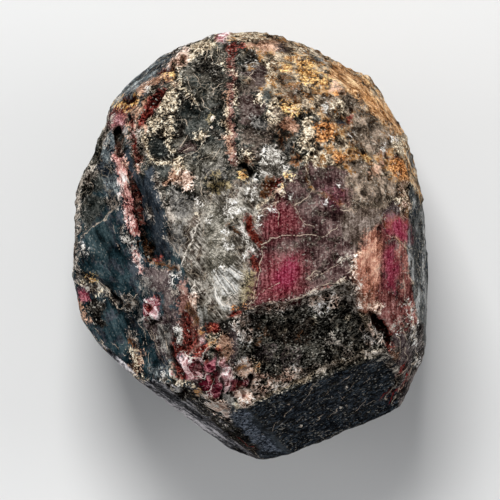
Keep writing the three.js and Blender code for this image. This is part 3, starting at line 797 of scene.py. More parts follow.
hair("white", [(-3.62, -2), (-3.62, -2.8), (-3.52, -3.6)],
     [(-2.25, -1.35), (-2, -2.1), (-1.6, -2.7), (-1.1, -3)],
     [(-2.4, -2.2), (-2.15, -3), (-1.85, -3.5), (-1.35, -3.8)],
     [(-1.25, -1.3), (-0.8, -1.65), (-0.5, -1.85)], [(-1.85, -1.2), (-1.6, -1.55)],
     [(-1.6, -1.9), (-1.2, -2.3), (-0.95, -2.75)], width=0.07)
hair("dark", [(-0.9, -1.5), (-0.55, -1.95)], [(-1.35, -2.9), (-1, -3.15)], width=0.06)
hair("bright", [(-4.3, 0), (-4.4, -0.3)], [(-4.85, 0.2), (-4.6, -0.3)], width=0.06)
hair("bright", [(-2.9, 1.4), (-3.1, 0.6)], [(-0.6, -1.9), (-0.35, -2.5), (-0.4, -3.1)],
     [(-2.4, -1.9), (-2.2, -2.6)], width=0.05)
mark("umber", stroke(0.16, (-1.5, 1.45), (-1.3, 1.35), (-1, 1), (-0.8, 0.8)),
     stroke(0.12, (-0.9, 1), (-0.6, 0.8)), stroke(0.34, (-3.9, -3.6), (-3.7, -4.3), (-3.5, -4.8)),
     most=0.1)
mark("blood", stroke(0.12, (-0.4, 1.9), (-0.4, 1.4)), stroke(0.12, (-0.75, 0.9), (-0.7, 0.6)),
     stroke(0.16, (-4.4, -4.5), (-4.3, -4.1)),
     patch((-1.6, -4.1), (-1.1, -4), (-0.4, -4), (-0.8, -4.2), (-1.2, -4.3), (-1.5, -4.25)),
     patch((-4.1, -5), (-3.8, -5), (-3.7, -5.6), (-3.8, -6.2), (-4, -6.5), (-4.1, -5.8)),
     stroke(0.2, (-4.8, -5.6), (-4.9, -6.2), (-4.6, -6.45), (-4.1, -6.4)), most=0.2)
mark("pit", patch((-1.4, 1.3), (-1.2, 1.3), (-0.9, 0.85), (-1.1, 0.75), (-1.35, 1)),
     stroke(0.14, (-6.2, -4.75), (-5.8, -4.6)), spots(0.12, (-5.7, -4.3)))
hair("dark", [(-2.3, -4.45), (-1.8, -4.5)], [(-6.6, -0.9), (-6.2, -1.05)],
     [(-1.2, -4.2), (-0.6, -4.3)], width=0.068)
mark("scarlet", patch((-2.8, -4.9), (-2.3, -4.8), (-2.1, -5.1), (-2.3, -5.4), (-2.7, -5.2)),
     stroke(0.1, (-1.4, -4.15), (-0.6, -4.1)), most=0.2)
mark("amber", stroke(0.1, (-1.1, -3.8), (-0.4, -3.62)), most=0.03)
mark("pink",
     patch((-6.5, -3.1), (-6, -3.15), (-5.7, -3.4), (-5.8, -4.2), (-6, -4.6), (-6.4, -4.5),
           (-6.6, -4.1), (-6.5, -3.6)), most=0.3)
mark("blood", stroke(0.22, (-6.25, -3.7), (-6.15, -4.05)), stroke(0.14, (-6, -3.1), (-5.8, -3.35)))
mark("coal", stroke(0.2, (-0.05, -3.9), (-0.1, -4.5), (-0.2, -5.2)), most=0.1)
mark("white", stroke(0.18, (-6.42, -4.3), (-6.2, -4.5)), spots(0.1, (-6.3, -3.35)),
     patch((-4.5, -5.1), (-4.2, -5.1), (-4.15, -5.6), (-4.1, -6.2), (-4.4, -6.2), (-4.4, -5.75),
           (-4.6, -5.5)), spots(0.1, (-4.7, -5.8)), most=0.2)
count_marks("pale plate")

# %% [markdown]
# ### The purple window
# Where the right half of the plate is clear, light goes deep into the garnet and comes back
# crimson. Thin pale cracks cross it, and pale brown scale covers its far half.

# %% Marks on the purple window
mark("ochre", spots(0.12, (0.75, 3.6), (1.9, 3.8), (2.2, 4.5)), most=0.02)
mark("purple", patch((3.4, 5.2), (5, 5), (6, 4.4), (5.9, 3.5), (4.9, 3.3), (3.9, 3.4), (3.4, 4.2)),
     patch((1, 0.3), (1.8, 0.45), (3, 0.5), (4.2, 0.5), (4.1, 0), (3, -0.2), (1.6, -0.1)),
     patch((1.4, 3.4), (2.2, 4.5), (3.4, 5), (3.4, 3), (1.6, 2.6)))
mark("scale",
     patch((5.9, 4.3), (7.2, 4.2), (8.2, 3.2), (8.2, 1.4), (7.6, 0.8), (6.4, -0.2), (5.7, 0.6),
           (5.6, 2.4)), most=0.7)
mark("mauve", patch((8, 3), (9.3, 3), (9.3, 2.1), (8.5, 1.8), (8, 1.6)), most=0.15)
mark("crimson",
     patch((1.9, 2.9), (2.5, 2.3), (3.1, 1.6), (3.1, 0.9), (2.2, 0.65), (1.2, 0.5), (0.75, 0.4),
           (0.6, 1.2), (1, 2.1)),
     patch((0.7, -0.5), (1.5, -0.5), (2.4, -0.3), (3.2, -0.6), (3.5, -1.4), (3.2, -2.2),
           (3.6, -2.8), (2.5, -3.3), (1.2, -3.5), (0.2, -3.6), (0.4, -2.6), (0.5, -1.8)), most=0.9)
mark("dusk", patch((4.4, 3.5), (5.2, 3.7), (5.9, 3.4), (5.8, 2.7), (5.1, 2.5), (4.5, 2.8)),
     most=0.35)
mark("magenta",
     patch((8.5, 1.9), (9.3, 1.9), (9.7, 1.3), (9.7, 0.4), (9.3, 0.2), (8.8, 0.5), (8.4, 1.1)),
     patch((8.4, -0.2), (8.8, -0.2), (8.95, -1), (8.9, -2.2), (8.7, -2.7), (8.4, -2.5),
           (8.4, -1.3)), most=0.5)
mark("magenta",
     patch((2.1, -0.9), (2.5, -0.6), (2.85, -1.2), (2.8, -2.1), (2.3, -2.6), (1.5, -2.5),
           (1.2, -2), (1.6, -1.4)), most=0.4)
mark("blood", patch((-0.1, -0.4), (0.3, -0.6), (0.5, -1), (0.4, -1.6), (0.15, -1.5), (0.1, -1)),
     stroke(0.14, (-0.4, 2), (-0.3, 1.5)),
     patch((0.5, 3.2), (1, 3.1), (1.6, 3.6), (2, 4.3), (1.5, 4.3), (0.9, 3.9)),
     stroke(0.1, (4.1, -2.6), (4.9, -2.35)), most=0.3)
mark("brick",
     patch((-0.45, 1.95), (0, 1.75), (0.3, 1.2), (0.6, 0.6), (0.72, 0.1), (0.5, -0.2),
           (0.28, 0.05), (0.1, 0.6), (-0.25, 1.15)), spots(0.12, (0.3, -1)), most=0.4)
mark("crest",
     patch((3.5, -2.9), (4.2, -2.6), (5.4, -2.25), (5.9, -2.3), (5.6, -2.9), (4.4, -3.2),
           (3.6, -3.5), (2.9, -3.4)),
     stroke(0.22, (0, -3.85), (0.8, -3.8), (1.4, -3.65), (2, -3.6), (2.7, -3.6)),
     stroke(0.22, (5.4, -1.1), (6, -0.7)), stroke(0.22, (6, -2.1), (6.5, -2)),
     patch((5, -2.4), (6.3, -1.9), (6.6, -2.8), (6.7, -3.9), (6.2, -3.6), (5.2, -3)), most=0.1)
mark("cream", stroke(0.16, (0.4, 2.2), (0.7, 2.6), (1, 2.85)),
     stroke(0.16, (1.05, 3.3), (1.3, 3.15), (1.6, 3.35)), stroke(0.14, (1.3, 4.3), (1.7, 3.9)),
     stroke(0.14, (2.2, 4.5), (2.5, 4.2)), spots(0.14, (2, 3.3), (1.5, 2.75)),
     patch((6.1, -0.8), (6.5, -0.3), (6.9, -0.3), (7, -0.9), (6.9, -1.5), (6.4, -1.8), (6.1, -1.4)),
     patch((5, -2.3), (5.9, -2), (6.3, -2.5), (5.9, -3), (5.1, -2.8)),
     patch((6.5, -3.6), (7.1, -3.5), (7.8, -4), (7.4, -4.3), (7.2, -4.6), (6.7, -4.5)), most=0.1)
mark("wax", patch((1, 3.9), (1.5, 4), (2, 3.7), (1.6, 3.2), (1.1, 3.3)),
     patch((1, -3.55), (2, -3.4), (2, -4), (1, -4)), most=0)
mark("white", stroke(0.14, (0.4, 1.9), (0.5, 1.4), (0.45, 1.1)),
     spots(0.07, (2.45, 3.1), (1.2, 2.25), (5.4, 3.8), (4.7, 2.75), (0.1, 3.1), (0.2, 2.9)),
     most=0.1)
hair("bright",
     [(0.62, 0), (0.78, 0.2), (0.95, 0.3), (1.3, 0.52), (2, 0.6), (2.9, 0.66), (3.6, 0.7),
      (4.3, 0.72), (4.8, 0.95), (5.3, 1.3)], [(0.62, 0), (0.55, -0.6), (0.48, -1.3), (0.4, -2)],
     [(0, -3.7), (0.6, -3.6), (1.2, -3.5), (2.3, -3.4), (3, -3.1), (3.7, -2.75), (4.6, -2.35),
      (5.6, -1.97), (6.2, -1.8)], width=0.085)
hair("bright", [(3.3, 4.8), (3.65, 4.2), (3.75, 3.6), (3.45, 3), (3, 2.75), (2.5, 2.6)],
     [(2.6, 2.5), (2.9, 2.2), (3.05, 1.9), (3.3, 1.5), (3.9, 1.2)],
     [(0.6, 2), (1.1, 2.4), (1.5, 2.55)], [(1.3, 3), (1.5, 2.6), (1.65, 2.1), (1.7, 1.4)],
     [(3.4, -1.9), (3.9, -1.55), (4.5, -1.5)],
     [(-0.6, -3.7), (0.3, -3.1), (1.05, -2.5), (1.6, -2.2)],
     [(3.5, -2), (4.5, -1.6), (5.4, -1.1), (6, -0.6)], [(5.5, 2.3), (6, 2.2)],
     [(8.5, 0.65), (9.2, 0.28), (9.8, -0.1)], [(0.4, -2), (0.2, -2.7), (0, -3.4)], width=0.06)
hair("dark", [(8.6, 0.5), (9.1, 0.18), (9.5, -0.08)], [(1, -2.85), (1.5, -2.7)],
     [(0.65, 0.9), (0.75, 0.5), (0.75, 0.2)], [(1, 0.42), (2, 0.5), (3.4, 0.58)], width=0.068)
count_marks("purple window")

# %% [markdown]
# ### The lower right edge
# Here the window turns down to the belt through salmon and orange scale. Dark red crevices open
# where a corner is missing, above small grey and mauve plates.

# %% Marks on the lower right edge
mark("flesh",
     patch((6.2, -0.8), (6.7, -0.2), (7.2, 0.8), (7.8, 1.1), (8, 0), (7.9, -2), (7.8, -3.6),
           (7.4, -4.2), (6.9, -4.1), (6.5, -3.2), (6.3, -2)), most=0.4)
mark("wax", stroke(0.16, (6.3, -0.6), (6.25, -1.2), (6.4, -2), (6.6, -3)),
     stroke(0.34, (6.7, -3.1), (7.1, -3.6), (7.6, -3.8), (7.9, -3.9)),
     spots(0.16, (7.2, -3.1), (7.3, -4.7)), most=0.08)
mark("cream", patch((6.8, -4.2), (7.3, -4.4), (7.6, -5), (7.5, -5.4), (7.2, -5.2), (6.9, -4.8)),
     most=0.3)
mark("wine",
     patch((8, -2.9), (8.6, -3.3), (9.2, -3.2), (9.3, -4.6), (8.9, -5.2), (8.2, -4.8), (7.8, -4)),
     most=0.4)
mark("steel", patch((7.8, -4.9), (8, -5), (7.7, -5.8), (7.4, -5.6)),
     stroke(0.25, (10.3, -5), (10.3, -6.4)), most=0.06)
mark("ash", patch((9.5, -2.2), (10, -2.2), (10, -3.4), (10.3, -5), (9.9, -5), (9.6, -3.8)),
     most=0.03)
mark("mauve",
     patch((8.8, -5.3), (9.5, -5.4), (9.9, -6.5), (9.9, -7.2), (9.4, -7.4), (8.8, -7), (8.7, -6)),
     most=0.2)
mark("peach", patch((8.6, -6.6), (9, -6.4), (9, -7), (8.7, -6.95)), most=0.2)
mark("crest", patch((8.6, -7), (8.9, -7.15), (8.8, -7.5), (8.5, -7.3)),
     stroke(0.3, (6.2, -2.4), (6.4, -3.2), (6.6, -4.1)),
     stroke(0.3, (7.2, -4.4), (7.6, -5.2), (8, -5.9), (8.4, -6.6)),
     stroke(0.3, (8.7, -5), (9.1, -4.7), (9.4, -4.9)), most=0.08)
mark("blood",
     patch((7.3, -4), (8, -4.3), (8.5, -4.9), (8.8, -5.4), (8.6, -5.7), (8.8, -6.1), (8.6, -6.5),
           (8.3, -6), (8.3, -5.5), (7.8, -5)), spots(0.12, (9.3, -4.8)),
     stroke(0.16, (9.1, -8.1), (9.5, -7.6)), stroke(0.12, (9.3, -9), (9.8, -8.2)))
mark("pit", stroke(0.18, (7.6, -4.2), (7.85, -4.5), (8.05, -5), (8.3, -5.35)),
     stroke(0.14, (8.5, -5.75), (8.55, -6.1)), stroke(0.2, (8.7, -8.9), (9.1, -8.5), (9.3, -8.1)))
mark("white", spots(0.13, (10.3, -7.1)), stroke(0.1, (10.3, -6.9), (10.1, -7.4)),
     stroke(0.08, (8.8, -8.8), (9.1, -8.4)), stroke(0.08, (9, -5), (9.05, -5.3)),
     stroke(0.12, (9.7, -3.4), (9.9, -4.6)), stroke(0.1, (10.1, -5), (10.3, -6.2)), most=0.1)
hair("bright", [(9.5, -1.8), (9.6, -3), (9.9, -4.4), (10.1, -5.8)], [(9.8, -1), (9.9, -2.4)],
     [(10, -4.6), (10.35, -5.8), (10.2, -7), (9.8, -8)], [(9.4, -5.2), (9.7, -6.2), (9.7, -7)],
     [(8.2, -9.7), (9, -8.8), (9.7, -7.6)], [(8.8, -9.7), (9.5, -8.8), (10, -7.8)],
     [(9, -5.6), (9.2, -6.4), (9.1, -7)], width=0.06)
hair("red", [(-1.8, -11.2), (-0.9, -11.95), (0.1, -12.75)], [(8.6, -9.7), (9.2, -8.9), (9.8, -7.9)],
     [(9.2, -8), (9.6, -7.2)], [(8, -9.6), (8.6, -9.1)], width=0.1)
count_marks("lower right edge")

# %% [markdown]
# ### The broken corner
# The lower left corner is broken into small blocks: pink and magenta garnet, cream crust, dark
# gaps, and below them a speckled black band along the edge.

# %% Marks on the broken corner
mark("mauve", patch((-1.6, -4.6), (-1.1, -4.6), (-0.8, -5.6), (-1, -7.2), (-1.4, -7.2), (-1.5, -6)),
     patch((-3.8, -8), (-3, -8), (-3, -8.9), (-3.6, -9)),
     patch((-6.8, -4.6), (-5, -4), (-4.5, -5), (-4.9, -7), (-5.4, -7.2), (-6, -6)), most=0.3)
mark("frost",
     patch((-6.4, -7.6), (-5.6, -7.3), (-5, -7), (-5, -7.9), (-5.4, -8.2), (-5.9, -8.3),
           (-6.3, -8.1)), most=0.15)
mark("dove", patch((-5.9, -4.9), (-5, -4.7), (-4.9, -6.4), (-5.2, -7), (-5.7, -6)), most=0.12)
mark("coal",
     patch((-5.2, -8.4), (-4.7, -8.9), (-4.1, -8.8), (-3.3, -9.2), (-2.8, -9.7), (-1.4, -10.8),
           (0.3, -12.4), (0.2, -12.9), (-0.8, -12.3), (-2.2, -11.1), (-3.5, -10), (-4.9, -9.2)),
     patch((-0.05, -7.9), (0.7, -7.9), (0.8, -8.8), (0.2, -9), (0, -8.8)),
     patch((-4.9, -5.3), (-4.5, -5.3), (-4.5, -6.1), (-4.9, -6.1)),
     patch((-2, -4.4), (-1.1, -4.4), (-1.1, -5), (-1.6, -5.6), (-2, -5.4)),
     patch((-3.4, -9.1), (-2.9, -8.9), (-2.6, -9.3), (-3, -9.5)), most=0.12)
mark("plum", stroke(0.3, (-2.4, -10.8), (-1, -11.9), (0.3, -12.9)), most=0.15)
mark("peach", patch((-2.05, -5.5), (-1.4, -5.5), (-1.25, -6.3), (-1.3, -7), (-2, -7)), most=0.15)
mark("dove", patch((-1.7, -8.9), (-1.1, -9), (-1.1, -9.9), (-1.4, -10.3), (-1.7, -9.7)), most=0.3)
mark("lilac",
     patch((-4.3, -6.7), (-3.6, -6.8), (-3, -7), (-2.9, -7.6), (-3.1, -8), (-3.9, -8.2),
           (-4.3, -7.6)),
     patch((-2.1, -6.9), (-1.5, -6.9), (-1.2, -7.7), (-1.3, -8.4), (-1.6, -8.9), (-2, -8.2)),
     patch((-3.3, -5.7), (-2.9, -5.6), (-2.8, -6), (-3.2, -6.1)), most=0.3)
mark("pink", patch((-4.2, -4.4), (-3.95, -4.3), (-3.85, -5.2), (-4.05, -5.3)),
     patch((-4.6, -6.6), (-4.3, -6.6), (-4.35, -7.3), (-4.6, -7.5)),
     patch((-0.55, -8.1), (-0.15, -8.1), (-0.2, -8.6), (-0.5, -8.6)),
     stroke(0.16, (-3.5, -5), (-3.4, -5.9)), most=0.04)
mark("mulberry",
     patch((-3.3, -8.4), (-2.8, -7.9), (-2.1, -7.8), (-1.85, -8.4), (-1.9, -9.2), (-2.3, -9.4),
           (-2.8, -9.2), (-3.3, -8.9)),
     patch((-2.9, -7.2), (-2.2, -6.8), (-2.15, -7.8), (-2.8, -7.8)),
     patch((-1.25, -8.3), (-0.5, -8.25), (-0.35, -8.85), (-1.1, -8.9)), spots(0.2, (-4.1, -8)),
     most=0.3)
mark("pink", patch((-3.95, -6.95), (-3.5, -6.9), (-3.3, -7.3), (-3.7, -7.6)),
     patch((-1.75, -7.4), (-1.45, -7.4), (-1.5, -8), (-1.7, -7.9)),
     patch((-2.8, -8.8), (-2.4, -8.7), (-2.4, -9.1), (-2.7, -9.1)),
     patch((-0.95, -8.95), (-0.6, -8.85), (-0.6, -9.4), (-0.9, -9.4)), most=0.12)
mark("cream", patch((-5.1, -7.2), (-4.8, -7.2), (-4.55, -8), (-4.6, -8.4), (-5, -8.3)),
     stroke(0.24, (-4.7, -8.6), (-4.2, -8.5)), stroke(0.2, (-3.9, -8.3), (-3.5, -8.8), (-3, -9.1)),
     patch((0, -7.2), (0.5, -7.1), (0.6, -7.8), (0.1, -7.9)),
     patch((-2.6, -5.4), (-2.1, -5.4), (-2.1, -6.2), (-2.5, -6.2)),
     spots(0.14, (-5.25, -8.2), (-4.35, -8.25)), most=0.3)
mark("wax",
     patch((-3.2, -9.2), (-2.4, -9.35), (-1.75, -9.35), (-1.55, -10), (-1.1, -10.3),
           (-1.45, -10.8), (-2, -10.4), (-2.6, -9.9)),
     patch((-1.2, -7.1), (-0.7, -6.9), (0, -7), (0.05, -7.9), (-0.6, -8.1), (-1.1, -7.95)),
     patch((-1.05, -8.95), (-0.4, -8.75), (0.05, -8.9), (0.1, -9.5), (-0.3, -9.95), (-0.75, -9.7)),
     patch((-5, -7.3), (-4.85, -7.3), (-4.7, -8), (-4.9, -8.2)), most=0.3)
mark("amber", spots(0.1, (-0.45, -7.5), (-0.6, -7.75)),
     spots(0.13, (-3.3, -9.1), (-2.3, -5.9), (0.3, -7.4), (-2.9, -5.2)), most=0.03)
mark("blood",
     patch((-4.45, -4.2), (-4, -4), (-3.75, -5), (-3.6, -6.2), (-4, -6.7), (-4.9, -6.7),
           (-4.95, -6.2), (-4.2, -6.1), (-4.2, -5)),
     stroke(0.4, (-4.8, -6.4), (-4.8, -7.2), (-4.5, -7.8), (-4.3, -8.1)),
     patch((-2.1, -8), (-2.5, -7.95), (-2.6, -8.2), (-2.2, -8.5)),
     patch((-1.1, -8.45), (-0.6, -8.45), (-0.6, -8.8), (-1.05, -8.8)),
     patch((-3.6, -4.9), (-3.2, -4.8), (-3.3, -5.8), (-3.7, -6.4)),
     stroke(0.2, (-2.9, -6.3), (-2.75, -7.2)), most=0.2)
mark("scarlet",
     patch((-3.65, -6.8), (-3.5, -6.3), (-3, -6), (-2.6, -6.05), (-2.5, -6.35), (-2.9, -6.6),
           (-3.3, -6.95)), patch((-2.9, -4.8), (-2.1, -4.7), (-2.1, -5.3), (-2.6, -5.4)),
     spots(0.12, (-2, -6.3), (-0.5, -9.2)), most=0.2)
mark("white", patch((-1, -7.05), (-0.3, -7), (-0.15, -7.4), (-0.7, -7.7)),
     patch((-2.9, -9.4), (-2.2, -9.5), (-2, -10), (-2.6, -9.8)), most=0)
mark("white",
     patch((-4.65, -5), (-4.25, -4.95), (-4.15, -5.7), (-4.1, -6.2), (-4.45, -6.3), (-4.5, -5.7)),
     spots(0.12, (-4.75, -5.8)),
     spots(0.1, (-3.7, -7.1), (-1.6, -7.6), (-5.25, -8.15), (-4.5, -8.75)),
     spots(0.09, (-0.3, -9.5), (-3.35, -9.8), (-2.85, -6.6), (-0.9, -7.3), (-0.9, -7.8)), most=0.15)
mark("pit", stroke(0.16, (-1.12, -8.9), (-1, -9.3)), stroke(0.24, (-0.15, -8), (-0.1, -8.6)),
     patch((-4.6, -9.1), (-4.1, -8.9), (-4, -9.3), (-4.4, -9.35)),
     stroke(0.1, (-2.15, -6.4), (-2.05, -7.2), (-2.05, -7.9)),
     stroke(0.1, (-1.9, -8.1), (-1.75, -8.8), (-1.8, -9.2)),
     stroke(0.12, (-5.05, -6.3), (-4.95, -7.1)),
     spots(0.08, (-5.25, -8.2), (-5.8, -8.3), (-5.4, -8.45)),
     spots(0.1, (-5.05, -8.55), (-4.8, -8.3)))
hair("white", [(-3, -6.8), (-2.6, -6.3), (-2.3, -6.2)], [(-4.2, -6.6), (-3.7, -6.9), (-3.2, -6.9)],
     [(-3.5, -7.9), (-3, -8.1), (-2.6, -7.9)], [(-2.1, -6.8), (-1.95, -7.6), (-1.95, -8.3)],
     [(-1.3, -6.9), (-1.2, -7.6), (-1.35, -8.2)], [(-2.7, -9.1), (-2.4, -8.6), (-2.2, -8.2)],
     [(-4.7, -4.9), (-4.8, -5.5), (-4.6, -6.1)], width=0.06)
hair("bright", [(-3.3, -9.2), (-2.8, -9.6), (-2.2, -10.1), (-1.6, -10.6)],
     [(-6.2, -5.2), (-5.9, -5.9), (-5.7, -6.6)], [(-5.6, -4.8), (-5.3, -5.6), (-5.2, -6.4)],
     width=0.06)
count_marks("broken corner")

# %% [markdown]
# ### The black hollow and the navy face
# The hollow under the window is rough and black, with pale sand stuck in it. A crumbly cream ledge
# parts it from the navy face, which is smooth and scratched.

# %% Marks in the hollow and on the navy face
mark("drab", patch((1.3, -4.1), (2.4, -4.1), (2.5, -4.6), (1.6, -4.8)), most=0.02)
mark("mauve", patch((0.3, -6.2), (1.3, -6.1), (1.2, -7), (0.4, -7)),
     patch((1.9, -6.2), (3, -6.4), (3, -8), (1.9, -7.9)), most=-0.05)
mark("frost", patch((0.8, -3.8), (1.3, -3.8), (1.3, -4.3), (0.9, -4.3)), most=0.02)
mark("crest",
     stroke(0.36, (-0.1, -9.4), (0.6, -9.1), (1.2, -8.8), (2, -8.4), (2.7, -8.1), (3.3, -7.9),
            (4, -7.6)),
     stroke(0.2, (4, -7.8), (5, -7.4), (5.5, -7.2), (6.3, -6.95), (7, -6.7), (8, -6.6)),
     stroke(0.26, (8, -6.6), (8.5, -7.2), (8.9, -7.6), (9.3, -7.7)),
     stroke(0.2, (4.8, -5.6), (5.6, -6.4), (6.2, -6.7)), most=0.06)
mark("umber", patch((0.6, -5), (0.9, -5), (0.9, -5.5), (0.65, -5.5)),
     spots(0.1, (0.4, -5.9), (3.2, -5.6)), most=0.06)
mark("wax",
     patch((-0.1, -7.9), (0.9, -8), (1.8, -7.9), (2.6, -7.4), (3.2, -7.6), (2.4, -8.3),
           (1.4, -8.8), (0.4, -9.2), (-0.1, -9)),
     patch((-1, -4.2), (-0.2, -4.2), (0, -5.6), (-0.6, -6), (-1, -5)),
     patch((3.6, -3.2), (5.4, -2.9), (5.2, -3.6), (4, -3.9)),
     patch((7, -5.2), (7.8, -5.2), (8, -6), (7.2, -6)), most=-0.03)
mark("cream", stroke(0.1, (3.7, -4.5), (3.9, -4.8)), stroke(0.12, (1.4, -9), (2, -8.6)),
     spots(0.1, (3, -8.2), (4.4, -7.6), (0.6, -9.35)),
     spots(0.08, (5.9, -4.5), (2.2, -5.3), (5.2, -6.3), (6.9, -6.6)), most=0.06)
mark("pit", patch((-0.1, -4.4), (0.7, -4.3), (0.7, -5.1), (0.1, -5.2)),
     patch((1, -4.6), (2.4, -4.9), (3.6, -4.4), (4, -5), (3.6, -6.1), (2.2, -6), (1.2, -5.6)),
     patch((5.5, -3.3), (6.1, -3.4), (6.2, -4.2), (5.6, -4.3)), most=-0.02)
mark("pale",
     spots(0.06, (5.6, -10.1), (6, -9.9), (6.5, -10.2), (4.9, -9.4), (3.1, -11.2), (2.3, -9.7),
           (5.9, -8.9)), spots(0.1, (0.7, -11.7)), most=0.05)
mark("cream",
     stroke(0.26, (-0.9, -9.9), (-0.36, -9.7), (0.3, -9.4), (0.9, -9.17), (1.5, -8.95), (2, -8.72),
            (2.7, -8.35), (3.4, -8.1), (4.2, -7.7), (5.2, -7.3), (6.2, -7), (7.1, -6.75),
            (8, -6.6)), most=0.14)
hair("bright", [(3, -7.7), (3.5, -7.5), (4, -7.2)], [(1, -8.5), (1.5, -8.1)],
     [(2.2, -7.9), (2.6, -7.6)], [(4.8, -6), (5.5, -5.8)], [(2.9, -5.2), (3.2, -4.9)],
     [(4.9, -4.6), (5.3, -4.2)], [(1.6, -6.9), (2, -6.6)], [(6.1, -6.3), (6.6, -6)],
     [(0, -12.8), (0.7, -13.1), (1.3, -13.3)], [(5.5, -9.6), (5.8, -9.3)], [(7, -8.6), (7.4, -8.2)],
     [(5, -10.6), (5.4, -10.2)], [(6.2, -8.9), (6.5, -8.5)], [(3, -10.9), (3.3, -10.5)],
     [(7.3, -9.9), (7.7, -9.6)], [(4.6, -9.3), (4.8, -8.9)], width=0.036)
hair("bright", [(3.2, -9.7), (3.6, -9.1), (4.1, -8.6)], [(2, -10.6), (2.6, -10)],
     [(5.4, -8.6), (6.1, -8)], [(1.2, -11.4), (1.7, -10.9)], [(4, -10.8), (4.5, -10.4)],
     [(6.4, -10.3), (6.8, -9.9), (7.1, -9.6)], width=0.05)
count_marks("hollow and navy face")

# %% [markdown]
# ## Noise that belongs to the stone
# The same soft noise shapes the relief and bends the marks. A Displace modifier could raise the
# lumps, but it couldn't bend the marks with them. The noise is read at each point's own place, so
# it comes out the same every time.

# %% Noise over the points
SEED_STRIDE = (17.3, 5.9, 11.1)
SWING = 0.5
CELL_SCATTER = 1000
CHANCE_MIDDLE = Vector((0.5, 0.5, 0.5))
FACET_TILT = 2


def noise_at_points(pattern, size, seed):
    """A pattern read at each point, in lumps of the given size, of about -1 to 1."""
    shift = Vector([seed * stride for stride in SEED_STRIDE])
    values = np.array([pattern(Vector(point) / size + shift) for point in points])
    return values / values.std() * SWING


def broken_facet(place):
    """The height of a raised and tilted little facet, one for each cell of a cracked pattern."""
    centre = noise.voronoi(place)[1][0]
    chance = noise.cell_vector(centre * CELL_SCATTER)
    tilt = (place - centre).dot(chance - CHANCE_MIDDLE)
    return chance.x - CHANCE_MIDDLE.x + FACET_TILT * tilt


broad_waves = noise_at_points(noise.noise, size=4.5, seed=1)
coarse_lumps = noise_at_points(noise.noise, size=1.0, seed=2)
fine_lumps = noise_at_points(noise.noise, size=0.42, seed=3)
facets = noise_at_points(broken_facet, size=0.75, seed=8)
warp = np.column_stack([noise_at_points(noise.noise, size=0.9, seed=seed) for seed in (4, 5)])
ruffle = np.column_stack([noise_at_points(noise.noise, size=0.35, seed=seed) for seed in (6, 7)])
print("noise laid over", len(points), "points")

# %% [markdown]
# ### From marks to distances
# Each finish takes the largest of its shapes' distances at every point. A chart seen from above
# would print through to the underside, so the marks fade out where the surface turns down.

# %% Marks as distances
WOBBLE = 0.14
RUFFLE = 0.06
FACING_UP = (-0.45, -0.15)
FAR_OUTSIDE = -9.0
UNDERSIDE_DROP = 3

plan = points[:, :2] + WOBBLE * warp + RUFFLE * ruffle
underside = UNDERSIDE_DROP * (1 - smoothstep(*FACING_UP, normals[:, 2]))
for finish, layers in marks.items():
    for most, shapes in layers:
        drawn = np.max([shape(plan) for shape in shapes], axis=0)
        drawn = np.minimum(drawn, most) - underside
        depth[finish] = np.maximum(depth.get(finish, FAR_OUTSIDE), drawn)
print("finishes:", len(depth))

# %% [markdown]
# ### Hair lines as offsets
# A hair line is finer than the cells of the mesh, so a line marked point by point would break up
# into dots. Each point keeps its offset from the nearest line instead, in half widths, with a sign
# for the side that it lies on, and the plain distance as well.

# %% Hair lines as offsets
HAIR_REACH = 9.0

kept_numbers = {}
for shade, lines in hairs.items():
    aside = np.full(len(points), HAIR_REACH)
    away = np.full(len(points), HAIR_REACH)
    for width, line in lines:
        for along, gap in segment_gaps(plan, line):
            distance = np.hypot(*gap.T) / (width / 2)
            side = np.sign(along[0] * gap[:, 1] - along[1] * gap[:, 0])
            nearer = distance < away
            away[nearer] = distance[nearer]
            aside[nearer] = (side * distance)[nearer]
    kept_numbers[shade + "_aside"] = aside
    kept_numbers[shade + "_away"] = away + HAIR_REACH * underside
print("hair lines:", {shade: len(lines) for shade, lines in hairs.items()})

# %% [markdown]
# ## The finishes
# Every finish has a dark, a middle and a light tone, because a rough mineral surface is never one
# colour: its hollows, its body and its worn grains differ. One material for each finish would end
# in hard borders, so all of them are rows of one table. The tones are given as 0 to 255, and a
# grain is the pattern that picks between them. Some finishes are patched with a second one, their
# kin, over a share of their surface. Lumps, crumbs, shards and lift shape the relief, in
# millimetres. Matt is the roughness. Soft is half the width of the border, and fray is how far the
# border crumbles. Veins and flecks are strengths. The order is the order of painting.

